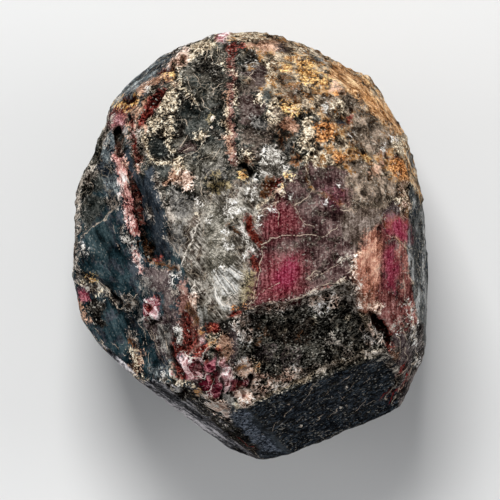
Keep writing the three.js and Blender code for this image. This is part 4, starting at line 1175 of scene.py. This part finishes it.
# %% Finish table
Finish = namedtuple(
    "Finish",
    "dark mid light grain kin share lumps crumbs shards lift matt soft fray veins flecks",
    defaults=("crumb", None, 0.5, 0.05, 0.03, 0.0, 0.0, 0.7, 0.12, 1.0, 0.0, 0.15),
)
FINISHES = {
    "crown": Finish((16, 16, 14), (43, 42, 37), (92, 88, 80), grain="cobble", kin="moss",
                    share=0.35, lumps=0.1, crumbs=0.06, shards=0.04, veins=0.55, flecks=0.4),
    "rust": Finish((40, 32, 25), (120, 104, 86), (210, 190, 162), grain="cobble", kin="tan",
                   share=0.35, lumps=0.11, crumbs=0.07, shards=0.06, lift=0.02, matt=0.8, fray=1.4,
                   veins=0.6, flecks=0.5),
    "tan": Finish((84, 52, 26), (160, 114, 68), (224, 180, 128), grain="cobble", lumps=0.11,
                  crumbs=0.07, shards=0.06, matt=0.8, flecks=0.4),
    "drab": Finish((38, 32, 28), (70, 61, 55), (118, 106, 97), lumps=0.07, crumbs=0.04, fray=1.4,
                   veins=0.3, flecks=0.2),
    "teal": Finish((18, 30, 34), (32, 47, 52), (55, 70, 74), grain="scratch", kin="slate",
                   share=0.28, lumps=0.02, crumbs=0.012, matt=0.42, soft=0.1, fray=0.5, veins=0.05,
                   flecks=0.08),
    "frost": Finish((44, 48, 52), (86, 93, 95), (140, 146, 146), grain="scratch", kin="slate",
                    share=0.35, lumps=0.07, veins=0.5, flecks=0.25),
    "steel": Finish((50, 52, 52), (92, 94, 93), (152, 152, 150), grain="belt", kin="slate",
                    share=0.3, lumps=0.03, crumbs=0.02, matt=0.5, veins=0.4, flecks=0.4),
    "keel": Finish((20, 20, 24), (84, 84, 88), (186, 182, 184), grain="keel", lumps=0.04,
                   crumbs=0.02, matt=0.5, flecks=0.2),
    "slate": Finish((27, 31, 36), (41, 47, 53), (64, 70, 76), grain="scratch", lumps=0.02,
                    crumbs=0.015, matt=0.45, fray=0.5, veins=0.05, flecks=0.06),
    "moss": Finish((24, 27, 26), (44, 47, 45), (84, 86, 82), crumbs=0.04, fray=0.8, veins=0.15),
    "ash": Finish((68, 62, 55), (106, 101, 93), (164, 157, 147), grain="fibre", kin="drab",
                  share=0.25, lumps=0.06, crumbs=0.04, matt=0.6, fray=1.2, veins=0.6, flecks=0.3),
    "purple": Finish((46, 31, 31), (75, 56, 55), (116, 96, 92), grain="striae", kin="plum",
                     share=0.3, lumps=0.02, crumbs=0.012, matt=0.42, fray=0.6, veins=0.2,
                     flecks=0.3),
    "salmon": Finish((84, 46, 44), (124, 76, 71), (172, 120, 108), grain="striae", kin="purple",
                     share=0.25, lumps=0.03, crumbs=0.02, matt=0.5, fray=0.8, veins=0.3,
                     flecks=0.3),
    "heel": Finish((6, 4, 4), (46, 39, 39), (114, 106, 103), lumps=0.06, matt=0.5, veins=0.2,
                   flecks=0.3),
    "grit": Finish((0, 0, 0), (12, 12, 11), (98, 96, 88), grain="sand", lumps=0.12, crumbs=0.09,
                   matt=0.6, veins=0.4, flecks=0.6),
    "navy": Finish((0, 1, 5), (13, 20, 27), (54, 61, 68), grain="streak", lumps=0.03, crumbs=0.02,
                   matt=0.5, fray=0.6, veins=0.1, flecks=0.35),
    "bluegrey": Finish((16, 20, 26), (70, 77, 87), (120, 127, 138), grain="streak", lumps=0.03,
                       crumbs=0.02, fray=1.2),
    "brightteal": Finish((31, 43, 46), (45, 59, 62), (66, 80, 83), grain="scratch", lumps=0.02,
                         crumbs=0.012, matt=0.4, soft=0.3, fray=1.2, flecks=0.2),
    "scale": Finish((64, 53, 46), (106, 93, 85), (150, 136, 127), grain="striae", lumps=0.02,
                    crumbs=0.015, matt=0.5, soft=0.3, veins=0.2, flecks=0.2),
    "mauve": Finish((42, 33, 33), (68, 57, 58), (108, 96, 94), fray=1.2, veins=0.3, flecks=0.3),
    "plum": Finish((30, 20, 19), (54, 42, 40), (92, 80, 76), fray=1.2, veins=0.12),
    "dove": Finish((58, 57, 56), (96, 93, 89), (144, 140, 134), fray=1.4, veins=0.2, flecks=0.2),
    "gravel": Finish((52, 44, 37), (102, 90, 78), (166, 146, 128), grain="cobble", lumps=0.11,
                     crumbs=0.07, shards=0.06, matt=0.8, fray=1.6, veins=0.4, flecks=0.5),
    "coal": Finish((2, 2, 1), (17, 16, 14), (66, 63, 58), grain="sand", lumps=0.1, crumbs=0.06,
                   shards=0.04, lift=-0.06, fray=1.2, veins=0.15, flecks=0.5),
    "rosewood": Finish((74, 46, 42), (118, 82, 74), (164, 126, 116), lumps=0.04, crumbs=0.02,
                       fray=1.4, veins=0.4, flecks=0.4),
    "peach": Finish((98, 66, 50), (156, 118, 96), (208, 170, 146), lumps=0.06, crumbs=0.04,
                    lift=0.02, fray=1.8, veins=0.4),
    "rim": Finish((104, 64, 34), (176, 126, 80), (230, 188, 144), lumps=0.06, crumbs=0.05,
                  lift=0.02, fray=1.2, veins=0.4),
    "olive": Finish((58, 50, 34), (106, 94, 68), (156, 142, 110), lumps=0.06, crumbs=0.05, fray=2.0,
                    veins=0.5),
    "cream": Finish((54, 46, 38), (156, 136, 110), (246, 228, 198), grain="sand", lumps=0.08,
                    crumbs=0.06, shards=0.06, lift=0.05, matt=0.8, fray=1.6, veins=0.3, flecks=0.3),
    "blush": Finish((104, 44, 42), (214, 150, 140), (250, 220, 210), lumps=0.09, crumbs=0.06,
                    lift=0.05, fray=1.5, flecks=0.5),
    "speckled": Finish((16, 4, 3), (84, 42, 36), (214, 170, 150), lumps=0.1, crumbs=0.08,
                       lift=-0.04, fray=1.2, flecks=1.0),
    "bruised": Finish((66, 63, 55), (112, 108, 98), (180, 174, 162), grain="strand", crumbs=0.04,
                      soft=0.45, veins=0.4),
    "feather": Finish((72, 69, 63), (126, 124, 118), (182, 180, 175), grain="fan", lumps=0.03,
                      lift=0.02, soft=0.2, fray=1.2),
    "lilac": Finish((96, 50, 52), (178, 126, 126), (232, 196, 194), grain="shard", lumps=0.08,
                    crumbs=0.05, shards=0.09, matt=0.4, fray=0.8),
    "mulberry": Finish((52, 6, 18), (108, 40, 54), (170, 106, 114), grain="shard", lumps=0.08,
                       crumbs=0.05, shards=0.09, matt=0.4, fray=0.8),
    "pink": Finish((104, 20, 34), (166, 104, 112), (240, 206, 206), grain="shard", lumps=0.1,
                   crumbs=0.06, shards=0.09, lift=0.08, matt=0.5, fray=1.2),
    "wine": Finish((88, 46, 43), (130, 84, 80), (172, 128, 122), grain="striae", soft=0.3,
                   flecks=0.2),
    "dusk": Finish((54, 28, 34), (86, 48, 56), (122, 80, 88), grain="glow", lumps=0.02, crumbs=0.01,
                   matt=0.4, soft=0.6, fray=0.6),
    "crimson": Finish((72, 24, 30), (104, 47, 52), (146, 90, 92), grain="glow", lumps=0.01,
                      crumbs=0.01, matt=0.38, soft=0.7, fray=0.6, veins=0.05),
    "magenta": Finish((100, 26, 44), (128, 44, 62), (154, 76, 94), grain="glow", lumps=0.03,
                      crumbs=0.02, matt=0.38, soft=0.4, fray=0.6, flecks=0.1),
    "rose": Finish((106, 56, 62), (148, 88, 92), (190, 128, 130), grain="glow", lumps=0.02,
                   crumbs=0.01, matt=0.42, soft=0.5, fray=0.8, veins=0.1),
    "flesh": Finish((130, 80, 64), (186, 126, 106), (230, 176, 150), grain="striae", lumps=0.04,
                    soft=0.3, fray=1.4, veins=0.2, flecks=0.2),
    "crest": Finish((46, 38, 34), (112, 102, 93), (190, 180, 168), lumps=0.08, crumbs=0.08,
                    lift=0.06, fray=1.8, veins=0.3, flecks=0.4),
    # A pale crust whose tones are raised above its own colour: partly painted light, making up for
    # the shade on faces turned from the key lamp.
    "wax": Finish((112, 80, 66), (222, 186, 164), (255, 242, 228), lumps=0.09, crumbs=0.07,
                  shards=0.08, lift=0.05, fray=1.6, flecks=0.3),
    "white": Finish((84, 78, 70), (194, 188, 178), (252, 248, 242), lumps=0.06, crumbs=0.05,
                    lift=0.03, fray=1.6),
    "blood": Finish((18, 1, 1), (66, 18, 15), (140, 74, 66), grain="sand", lumps=0.06, crumbs=0.05,
                    shards=0.09, lift=-0.12, matt=0.4, fray=0.8, flecks=0.6),
    "brick": Finish((50, 13, 9), (84, 33, 26), (122, 70, 60), matt=0.45, fray=0.6, flecks=0.2),
    "scarlet": Finish((56, 5, 4), (110, 34, 28), (178, 96, 84), grain="sand", lumps=0.06,
                      crumbs=0.05, shards=0.09, lift=-0.03, matt=0.4, fray=0.7, flecks=0.5),
    "ochre": Finish((66, 38, 16), (176, 120, 64), (240, 198, 136), grain="sand", lumps=0.09,
                    crumbs=0.07, shards=0.06, lift=0.02, matt=0.8, fray=1.8, flecks=0.5),
    "amber": Finish((62, 28, 12), (162, 98, 54), (228, 168, 112), grain="sand", lumps=0.07,
                    crumbs=0.06, shards=0.06, lift=0.02, matt=0.8, fray=1.8, flecks=0.5),
    "pale": Finish((120, 102, 86), (172, 156, 140), (222, 210, 196), lift=0.03, soft=0.02,
                   fray=0.5),
    # Pits and crevices are sunk into the mesh, and their near-black tones are painted shade.
    "pit": Finish((1, 0, 0), (10, 5, 4), (44, 28, 21), crumbs=0.06, lift=-0.3, matt=0.8, fray=0.6,
                  flecks=0.3),
    "umber": Finish((30, 16, 9), (72, 47, 32), (124, 88, 62), lumps=0.07, crumbs=0.06, lift=-0.04,
                    fray=1.4, flecks=0.3),
}
painted = [name for name in FINISHES if name in depth]
print("finishes in the table:", len(FINISHES), "lying on the stone:", len(painted))

# %% [markdown]
# ## Sculpting
# A bump alone would leave the outline smooth, so the lumps, crumbs and crevices are raised in the
# mesh itself. At each point the finishes are laid over one another in their order, and what is
# left on top says how rough, how matt and how veined the stone is there. The lowest half
# millimetre stays flat, because the stone rests on it.

# %% Traits at each point
LAY_RAMP = 0.1

traits = {
    trait: np.zeros(len(points))
    for trait in ("lumps", "crumbs", "shards", "matt", "veins", "flecks")
}
lift = np.zeros(len(points))
for name in painted:
    finish = FINISHES[name]
    share = smoothstep(-LAY_RAMP, LAY_RAMP, depth[name])
    for trait, values in traits.items():
        values += share * (getattr(finish, trait) - values)
    lift += share * finish.lift
for trait, values in traits.items():
    print(trait, "from", round(values.min(), 2), "to", round(values.max(), 2))

# %% Sculpt
BROAD_RISE = 0.1
BROAD_FROM_LUMPS = (0.02, 0.1)
SOFTENING = 0.4
FOOT = (0.0, 0.6)

edges = np.empty(len(stone.edges) * 2, dtype=np.int64)
stone.edges.foreach_get("vertices", edges)
edge_ends = edges.reshape(-1, 2)


def mean_of_neighbours(values):
    """At each point, the mean of the values at the points joined to it."""
    total = np.zeros_like(values)
    count = np.zeros(len(values))
    for here, there in (edge_ends.T, edge_ends.T[::-1]):
        np.add.at(total, here, values[there])
        np.add.at(count, here, 1)
    return total / (count[:, None] if values.ndim > 1 else count)


rise = lift + traits["lumps"] * coarse_lumps + traits["crumbs"] * fine_lumps
rise += traits["shards"] * facets
rise += BROAD_RISE * smoothstep(*BROAD_FROM_LUMPS, traits["lumps"]) * broad_waves
rise = (1 - SOFTENING) * rise + SOFTENING * mean_of_neighbours(rise)
above_foot = smoothstep(*FOOT, points[:, 2])
points += (rise * above_foot)[:, None] * normals
points[:, 2] = np.maximum(points[:, 2], 0.0)
stone.vertices.foreach_set("co", points.ravel())
stone.update()
print("relief, mm:", round(float(rise.min()), 2), round(float(rise.max()), 2))

# %% [markdown]
# ## Hollows and ridges
# Hollows get painted shade, which darkens their colour further on. A light baked into the surface
# would turn with the stone, so the hollows are found in its shape: how far does each point stand
# out from its neighbourhood?

# %% Hollows
HOLLOW_REACH = 5
STANDING_LIMIT = 3

around = points.copy()
for _ in range(HOLLOW_REACH):
    around = mean_of_neighbours(around)
standing = np.einsum("ij,ij->i", points - around, normals)
standing = np.clip(standing / standing.std(), -STANDING_LIMIT, STANDING_LIMIT)
print("hollows:", f"{np.mean(standing < -1):.0%}", "ridges:", f"{np.mean(standing > 1):.0%}")

# %% [markdown]
# ## Shader maths as expressions
# A material this layered could be wired by hand, but it is easier to read as sums. A Socket wraps
# one output, and adding or multiplying Sockets adds the Math node that does it.

# %% Sockets
class Socket:
    """One output of a material's node. Sums and products of it are new nodes."""

    def __init__(self, recipe, output):
        self.recipe = recipe
        self.output = output

    def maths(self, operation, first, second):
        """A Math node on two numbers or Sockets."""
        return self.recipe.node("ShaderNodeMath", {"operation": operation}, {0: first, 1: second})

    def __add__(self, other):
        return self.maths("ADD", self, other)

    __radd__ = __add__

    def __mul__(self, other):
        return self.maths("MULTIPLY", self, other)

    __rmul__ = __mul__

    def __sub__(self, other):
        return self.maths("SUBTRACT", self, other)

    def __rsub__(self, other):
        return self.maths("SUBTRACT", other, self)

    def __abs__(self):
        return self.maths("ABSOLUTE", self, 0.0)


print("a Socket adds, multiplies, subtracts and gives its absolute value")

# %% Recipes
FULL_TONE = 255
GAMMA = 2.2


class Recipe:
    """A material's node tree, and the few nodes that every finish needs."""

    def __init__(self, material):
        self.tree = material.node_tree

    def node(self, kind, settings, values, output=0):
        """Adds a node: settings first, then its sockets' values or links. Gives one output."""
        made = self.tree.nodes.new(kind)
        for name, setting in settings.items():
            if name == "stops":
                self.set_stops(made.color_ramp, setting)
            else:
                setattr(made, name, setting)
        for name, value in values.items():
            if isinstance(value, Socket):
                self.tree.links.new(value.output, made.inputs[name])
            else:
                made.inputs[name].default_value = value
        return Socket(self, made.outputs[output])

    @staticmethod
    def set_stops(ramp, stops):
        """Gives a colour ramp its stops, which are (position, colour) pairs."""
        while len(ramp.elements) < len(stops):
            ramp.elements.new(1.0)
        for element, (position, colour) in zip(ramp.elements, stops):
            element.position = position
            element.color = colour

    def mix_colour(self, factor, below, above, blend="MIX"):
        """above over below, by factor."""
        settings = {"data_type": "RGBA", "blend_type": blend}
        values = {"Factor": factor, 6: below, 7: above}
        return self.node("ShaderNodeMix", settings, values, 2)

    def ramp(self, low, high, value):
        """A smooth 0 to 1 as value goes from low to high."""
        settings = {"interpolation_type": "SMOOTHSTEP"}
        values = {"Value": value, "From Min": low, "From Max": high}
        return self.node("ShaderNodeMapRange", settings, values)

    def attribute(self, name):
        """A number kept at each vertex."""
        return self.node("ShaderNodeAttribute", {"attribute_name": name}, {}, "Fac")


def tone(colour):
    """A tone given as 0 to 255 as Blender's linear colour."""
    return tuple((channel / FULL_TONE) ** GAMMA for channel in colour) + (1.0,)


print("half grey in linear light:", round(tone((128, 128, 128))[0], 2))

# %% [markdown]
# ### Patterns in the stone
# Growth lines, fibres and grains have a size and a direction in the real stone. An unwrapped sheet
# would stretch them at its seams, so each pattern is read at the surface's own place in space,
# which is stretched or turned first. One octave of Blender's noise swings by about an eighth
# either side of a half, so every cloud is scaled to a swing of one, and patterns can be added by
# weight.

# %% Patterns
OCTAVE_DEVIATION = 0.125
STRAND_HEIGHT = 3.0


class Patterns(Recipe):
    """A recipe that also knows the patterns of a mineral surface."""

    def place(self, stretch=(1.0, 1.0, 1.0), heading=0.0):
        """The surface's own place in millimetres, seen along a heading, then stretched."""
        coordinates = self.node("ShaderNodeTexCoord", {}, {}, "Object")
        scale = tuple(MM / axis for axis in stretch)
        turn = (0.0, 0.0, math.radians(heading))
        values = {"Vector": coordinates, "Rotation": turn, "Scale": scale}
        return self.node("ShaderNodeMapping", {"vector_type": "TEXTURE"}, values)

    def bent(self, vector, per_mm, by):
        """The vector pushed about by a noise, by so many millimetres."""
        push = self.node("ShaderNodeTexNoise", {}, {"Vector": vector, "Scale": per_mm}, "Color")
        values = {0: push, 1: (by, by, by), 2: vector}
        return self.node("ShaderNodeVectorMath", {"operation": "MULTIPLY_ADD"}, values)

    def cracked(self, vector, per_mm, feature, output):
        """A pattern of cells, per_mm to the millimetre."""
        values = {"Vector": vector, "Scale": per_mm}
        return self.node("ShaderNodeTexVoronoi", {"feature": feature}, values, output)

    def fanned(self, vector, hinge, ribs, per_mm):
        """A fan opened about its hinge: across it ribs to the full turn, and along it per_mm."""
        arm = self.node("ShaderNodeVectorMath", {"operation": "SUBTRACT"}, {0: vector, 1: hinge})
        radial = {"gradient_type": "RADIAL"}
        angle = self.node("ShaderNodeTexGradient", radial, {"Vector": arm}, "Fac")
        reach = self.node("ShaderNodeVectorMath", {"operation": "LENGTH"}, {0: arm}, "Value")
        return self.node("ShaderNodeCombineXYZ", {}, {"X": angle * ribs, "Y": reach * per_mm})

    def clouds(self, vector, per_mm=1.0, detail=2, rough=0.6, swirl=0.0):
        """Noise around zero with a deviation of one and per_mm lumps to the millimetre."""
        values = {
            "Vector": vector, "Scale": per_mm, "Detail": detail, "Roughness": rough,
            "Distortion": swirl,
        }
        octaves = [rough**octave for octave in range(detail + 1)]
        deviation = OCTAVE_DEVIATION * math.hypot(*octaves) / sum(octaves)
        return (self.node("ShaderNodeTexNoise", {}, values) - 0.5) * (1 / deviation)

    def strands(self, vector, per_mm, swirl, width, mean):
        """Thin crooked threads, where a noise passes through zero. Their mean is taken off."""
        web = abs(self.clouds(vector, per_mm, 1, swirl=swirl))
        return self.ramp(width, 0.0, web) * STRAND_HEIGHT - mean


print("patterns:", [name for name in vars(Patterns) if not name.startswith("_")])

# %% [markdown]
# ## The skin's material
# Every finish shares a few patterns: grains from dust to blotches, lines that follow the crystal's
# growth or its breaks, angular shards with pale seams between them, which are partly painted
# highlights on the shards' edges, and fine threads of crust. Painting them once each and mixing
# them anew for every finish is cheaper than a set for each.

# %% Patterns of the skin
FAN_HINGE = (-3.5, 0.4, 0.0)
SHARDS_PER_MM = 1.9
SHARD_SWING = 2.3
SEAM_AND_HIGHLIGHT_WIDTH = 0.07

skin = bpy.data.materials.new("garnet_skin")
skin.use_nodes = True
recipe = Patterns(skin)
place = recipe.place()
dust = recipe.clouds(place, per_mm=8.0, detail=1)
crumb = recipe.clouds(place, per_mm=3.0, swirl=0.8)
blotches = recipe.clouds(place, per_mm=0.9)
regions = recipe.clouds(place, per_mm=0.3, detail=1)
growth_lines = recipe.clouds(recipe.place(stretch=(7.0, 0.5, 2.0)), detail=3)
keel_lines = recipe.clouds(recipe.place(stretch=(0.3, 3.6, 0.06), heading=-37))
belt_lines = recipe.clouds(recipe.place(stretch=(3.0, 0.25, 0.1)))
fibres = recipe.clouds(recipe.place(stretch=(1.0, 7.0, 3.0), heading=-50), swirl=0.5)
scratches = recipe.clouds(recipe.place(stretch=(0.7, 6.0, 3.0), heading=-62))
ribs = recipe.clouds(recipe.fanned(place, FAN_HINGE, ribs=120.0, per_mm=0.35))
streaks = recipe.clouds(recipe.place(stretch=(1.2, 6.0, 4.0), heading=42))
crooked = recipe.bent(place, per_mm=1.4, by=0.4)
shade_of_cell = recipe.cracked(crooked, SHARDS_PER_MM, "F1", "Color")
shards = shade_of_cell * (2 * SHARD_SWING) - SHARD_SWING
to_edge = recipe.cracked(crooked, SHARDS_PER_MM, "DISTANCE_TO_EDGE", "Distance")
# Pale lines along the shards' edges: partly crust in the seams, partly painted highlights.
seams_and_edge_highlights = recipe.ramp(SEAM_AND_HIGHLIGHT_WIDTH, 0.0, to_edge)
thread = recipe.strands(place, per_mm=2.6, swirl=1.0, width=0.5, mean=0.55)
wisps = recipe.strands(place, per_mm=5.2, swirl=1.2, width=0.45, mean=0.6)
print("nodes in the patterns:", len(skin.node_tree.nodes))

# %% [markdown]
# ### Grains
# Each grain is a sum of those patterns whose swings come to about one, so a finish's dark and
# light tones are met on an eighth of its surface each. The fray is a finer sum, in millimetres,
# that bends the borders, so no mark ends in a clean line.

# %% Grains
grains = {
    "crumb": (
        thread * 0.45 + wisps * 0.4 + dust * 0.15 + crumb * 0.35 + blotches * 0.5 + regions * 0.3
    ),
    "cobble": (
        thread * 0.35 + wisps * 0.4 + dust * 0.1 + crumb * 0.3 + blotches * 0.45 + shards * 0.4
    ),
    # Here the seams lighten the shards' edges: painted highlights.
    "shard": shards * 0.8 + seams_and_edge_highlights * 1.1 + crumb * 0.35 + thread * 0.35 + dust * 0.15 - 0.2,
    "striae": (
        growth_lines * 0.35 + wisps * 0.3 + dust * 0.25 + blotches * 0.55 + regions * 0.3
        + thread * 0.3
    ),
    "glow": growth_lines * 0.45 + wisps * 0.4 + dust * 0.45 + thread * 0.35,
    "keel": keel_lines * 0.8 + dust * 0.2 + crumb * 0.4,
    "belt": belt_lines * 0.8 + dust * 0.2 + crumb * 0.4,
    "sand": thread * 0.35 + wisps * 0.5 + dust * 0.5 + crumb * 0.45 + blotches * 0.25,
    "fan": ribs * 0.65 + dust * 0.3 + crumb * 0.25 + blotches * 0.25,
    "strand": (
        ribs * 0.3 + thread * 0.3 + wisps * 0.4 + dust * 0.15 + crumb * 0.35 + blotches * 0.45
    ),
    "fibre": fibres * 0.7 + dust * 0.15 + crumb * 0.4 + blotches * 0.45,
    "scratch": scratches * 0.35 + dust * 0.25 + thread * 0.3 + blotches * 0.6 + regions * 0.5,
    "streak": streaks * 0.5 + dust * 0.35 + crumb * 0.4 + thread * 0.6,
}
fray = crumb * 0.05 + thread * 0.04 + dust * 0.01
print("grains:", list(grains))

# %% [markdown]
# ### One finish over another
# A real crust lies over the stone beneath it and lets it show through where it is thin. So every
# finish covers the ones before it as far as its own signed distance reaches, in the table's order.
# A colour ramp spreads its tones over its grain, with a deeper and a brighter tone for the rare
# swings at either end.

# %% Layers of finish
GRAIN_SCALE = 1 / 6
RAMP_MIDDLE = 0.5
TONE_SWINGS = (-2, -1, 0, 1, 2)
SWING_STEP = 1.1 * GRAIN_SCALE
DEEPER = 0.5
BRIGHTER = 1.2
KIN_EDGE = 0.15

grain_level = {name: grain * GRAIN_SCALE + RAMP_MIDDLE for name, grain in grains.items()}
mottling = recipe.clouds(place, per_mm=1.3, detail=3, rough=0.65)


def body_of(name):
    """The finish's own colour: its three tones spread over its grain."""
    finish = FINISHES[name]
    tones = [tone(finish.dark), tone(finish.mid), tone(finish.light)]
    deepest = tone([channel * DEEPER for channel in finish.dark])
    brightest = tone([min(channel * BRIGHTER, FULL_TONE) for channel in finish.light])
    positions = [RAMP_MIDDLE + swing * SWING_STEP for swing in TONE_SWINGS]
    stops = list(zip(positions, [deepest, *tones, brightest]))
    return recipe.node("ShaderNodeValToRGB", {"stops": stops}, {"Fac": grain_level[finish.grain]})


def patched_body_of(name):
    """The finish's colour with its kin showing through in patches."""
    finish = FINISHES[name]
    if not finish.kin:
        return body_of(name)
    threshold = NormalDist().inv_cdf(1 - finish.share)
    patchwork = recipe.ramp(threshold - KIN_EDGE, threshold + KIN_EDGE, mottling)
    return recipe.mix_colour(patchwork, body_of(name), body_of(finish.kin))


ground, *laid_over = painted
colour = patched_body_of(ground)
for name in laid_over:
    finish = FINISHES[name]
    border = recipe.attribute(name) + fray * finish.fray
    cover = recipe.ramp(-finish.soft, finish.soft, border)
    colour = recipe.mix_colour(cover, colour, patched_body_of(name))
print("laid over the", ground + ":", len(laid_over), "finishes")

# %% [markdown]
# ## Filaments and cracks
# Pale crust runs over the stone in fine crooked filaments, and hair cracks run the other way,
# dark. A wave pattern would give them one width and spacing. Both are thin places of a noise
# instead, where it passes through zero, and a broader noise makes them patchy. The shards' pale
# seams join the filaments; they are partly crust and partly painted highlights on the edges.

# %% Filaments and cracks
FILAMENT = tone((196, 182, 160))
CRACK = tone((14, 9, 7))
FILAMENT_EDGE = (0.11, 0.0)
FILAMENT_PATCHES = (-0.6, 1.4)
CRACK_EDGE = (0.10, 0.02)
CRACK_PATCHES = (-0.5, 0.8)
SEAM_AND_HIGHLIGHT_SHARE = 0.6

web = abs(recipe.clouds(place, per_mm=1.9, detail=1, swirl=0.6))
cracks = abs(recipe.clouds(recipe.place(stretch=(1.0, 1.3, 1.0), heading=25)))
vein_strength = recipe.attribute("veins")
fleck_strength = recipe.attribute("flecks")
filament_patches = recipe.ramp(*FILAMENT_PATCHES, mottling + dust * 0.3)
filaments = recipe.ramp(*FILAMENT_EDGE, web) + seams_and_edge_highlights * SEAM_AND_HIGHLIGHT_SHARE
filament_cover = filaments * filament_patches
crack_cover = recipe.ramp(*CRACK_EDGE, cracks) * recipe.ramp(*CRACK_PATCHES, mottling)
colour = recipe.mix_colour(crack_cover * fleck_strength, colour, CRACK)
colour = recipe.mix_colour(filament_cover * vein_strength, colour, FILAMENT)
print("nodes with filaments and cracks:", len(skin.node_tree.nodes))

# %% [markdown]
# ### Loose grains and painted glints
# Single pale and dark grains cling to the rough skins and hardly at all to the smooth ones. The
# pale specks are partly such grains and partly painted glints, which stand in for the shine the
# skin hasn't got. They could be scattered as small meshes, but at this size the peaks of a fine
# noise do as well.

# %% Flecks
PALE_GRAIN_AND_GLINT = tone((210, 203, 190))
PALE_GRAIN_AND_GLINT_EDGE = (1.5, 2.3)
DARK_FLECK_EDGE = (-1.4, -2.2)
CLUSTERING = 0.3

loose = recipe.clouds(place, per_mm=7.0, detail=0)
grain_and_glint_cover = recipe.ramp(*PALE_GRAIN_AND_GLINT_EDGE, loose + blotches * CLUSTERING)
dark_cover = recipe.ramp(*DARK_FLECK_EDGE, loose + mottling * CLUSTERING)
colour = recipe.mix_colour(dark_cover * fleck_strength, colour, CRACK)
# The pale specks are partly loose grains and partly painted glints.
colour = recipe.mix_colour(grain_and_glint_cover * fleck_strength, colour, PALE_GRAIN_AND_GLINT)
print("nodes with flecks:", len(skin.node_tree.nodes))

# %% [markdown]
# ### Hair lines
# Healed cracks and scratches are drawn from the offsets that the points keep. The line is where
# the offset passes through zero between two neighbours. The plain distance keeps out the places
# where the nearest line changes, because the offset jumps through zero there too.

# %% Hair lines
HAIR_TONES = {
    "bright": (198, 180, 160),
    "white": (240, 231, 217),
    "dark": (12, 7, 6),
    "red": (128, 34, 30),
}
HAIR_BEND = 0.3
HAIR_EDGE = (0.95, 0.1)
HAIR_NEAR = (4.5, 3.0)
HAIR_GAPS = (-2.0, -0.3)
HAIR_STRENGTH = 0.85

for name in hairs:
    aside = abs(recipe.attribute(name + "_aside") + crumb * HAIR_BEND)
    near = recipe.ramp(*HAIR_NEAR, recipe.attribute(name + "_away"))
    unbroken = recipe.ramp(*HAIR_EDGE, aside) * near
    cover = unbroken * recipe.ramp(*HAIR_GAPS, dust * 0.8 + blotches * 0.6)
    colour = recipe.mix_colour(cover * HAIR_STRENGTH, colour, tone(HAIR_TONES[name]))
print("shades of hair line:", list(hairs))

# %% [markdown]
# ## Painted hollow shade and fine relief
# Painted shade lies in the hollows and multiplies their colour down. Grains, filaments and cracks
# finer than the cells of the mesh could only be raised with millions of triangles, so they are left
# to a bump. The stone is dry and dusty, so it has next to no shine.

# %% Painted hollow shade and fine relief
HOLLOW_SHADE_TONE = tone((110, 100, 92))
HOLLOW_SHADE_FROM = (0.0, -2.2)
HOLLOW_SHADE_STRENGTH = 0.75
BUMP_DEPTH = 0.1 * MM
DUST_RISE = 0.10
CRUMB_RISE = 0.12
FILAMENT_RISE = 0.25
CRACK_DROP = 0.3
SHINE = 0.005

# Painted shade: the colour is multiplied darker in the hollows, which are found from the shape.
hollow_shade = recipe.ramp(*HOLLOW_SHADE_FROM, recipe.attribute("standing"))
colour = recipe.mix_colour(hollow_shade * HOLLOW_SHADE_STRENGTH, colour, HOLLOW_SHADE_TONE, "MULTIPLY")
grain_height = dust * DUST_RISE + crumb * CRUMB_RISE
height = grain_height + filament_cover * vein_strength * FILAMENT_RISE - crack_cover * CRACK_DROP
raised = {"Strength": 1.0, "Distance": BUMP_DEPTH, "Height": height * recipe.attribute("relief")}
bump = recipe.node("ShaderNodeBump", {}, raised)
shader = skin.node_tree.nodes["Principled BSDF"]
shader.inputs["Specular IOR Level"].default_value = SHINE
finished = {"Base Color": colour, "Roughness": recipe.attribute("matt"), "Normal": bump}
for name, value in finished.items():
    skin.node_tree.links.new(value.output, shader.inputs[name])
print("nodes in all:", len(skin.node_tree.nodes))

# %% [markdown]
# ## The finished piece
# The relief mesh takes over from the CAD solid, which stays only for collision, hidden. It goes
# back to metres, carries its distances and traits as attributes, which unlike a vertex colour
# may be negative, and rides on the one body.

# %% Numbers kept at each point
LEAST_RELIEF = 0.25
RELIEF_FROM_CRUMBS = (0.01, 0.06)

bumpy = smoothstep(*RELIEF_FROM_CRUMBS, traits["crumbs"])
kept_numbers.update({name: depth[name] for name in painted})
kept_numbers.update({trait: traits[trait] for trait in ("veins", "flecks", "matt")})
kept_numbers["standing"] = standing
kept_numbers["relief"] = LEAST_RELIEF + (1 - LEAST_RELIEF) * bumpy
for name, values in kept_numbers.items():
    kept = stone.attributes.new(name, "FLOAT", "POINT")
    kept.data.foreach_set("value", values)
print("numbers kept at each point:", len(kept_numbers))

# %% Finish the piece
stone.vertices.foreach_set("co", (points * MM).ravel())
stone.polygons.foreach_set("use_smooth", [True] * len(stone.polygons))
stone.materials.clear()
stone.materials.append(skin)
stone.update()
crystal = bpy.data.objects.new("garnet_stone", stone)
bpy.context.collection.objects.link(crystal)
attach(crystal, "root")
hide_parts(NODE)
print("piece:", crystal.name, "replaces", NODE)

# %% [markdown]
# ## The size
# Relief adds a little to the CAD solid.

# %% [markdown]
# ## Done
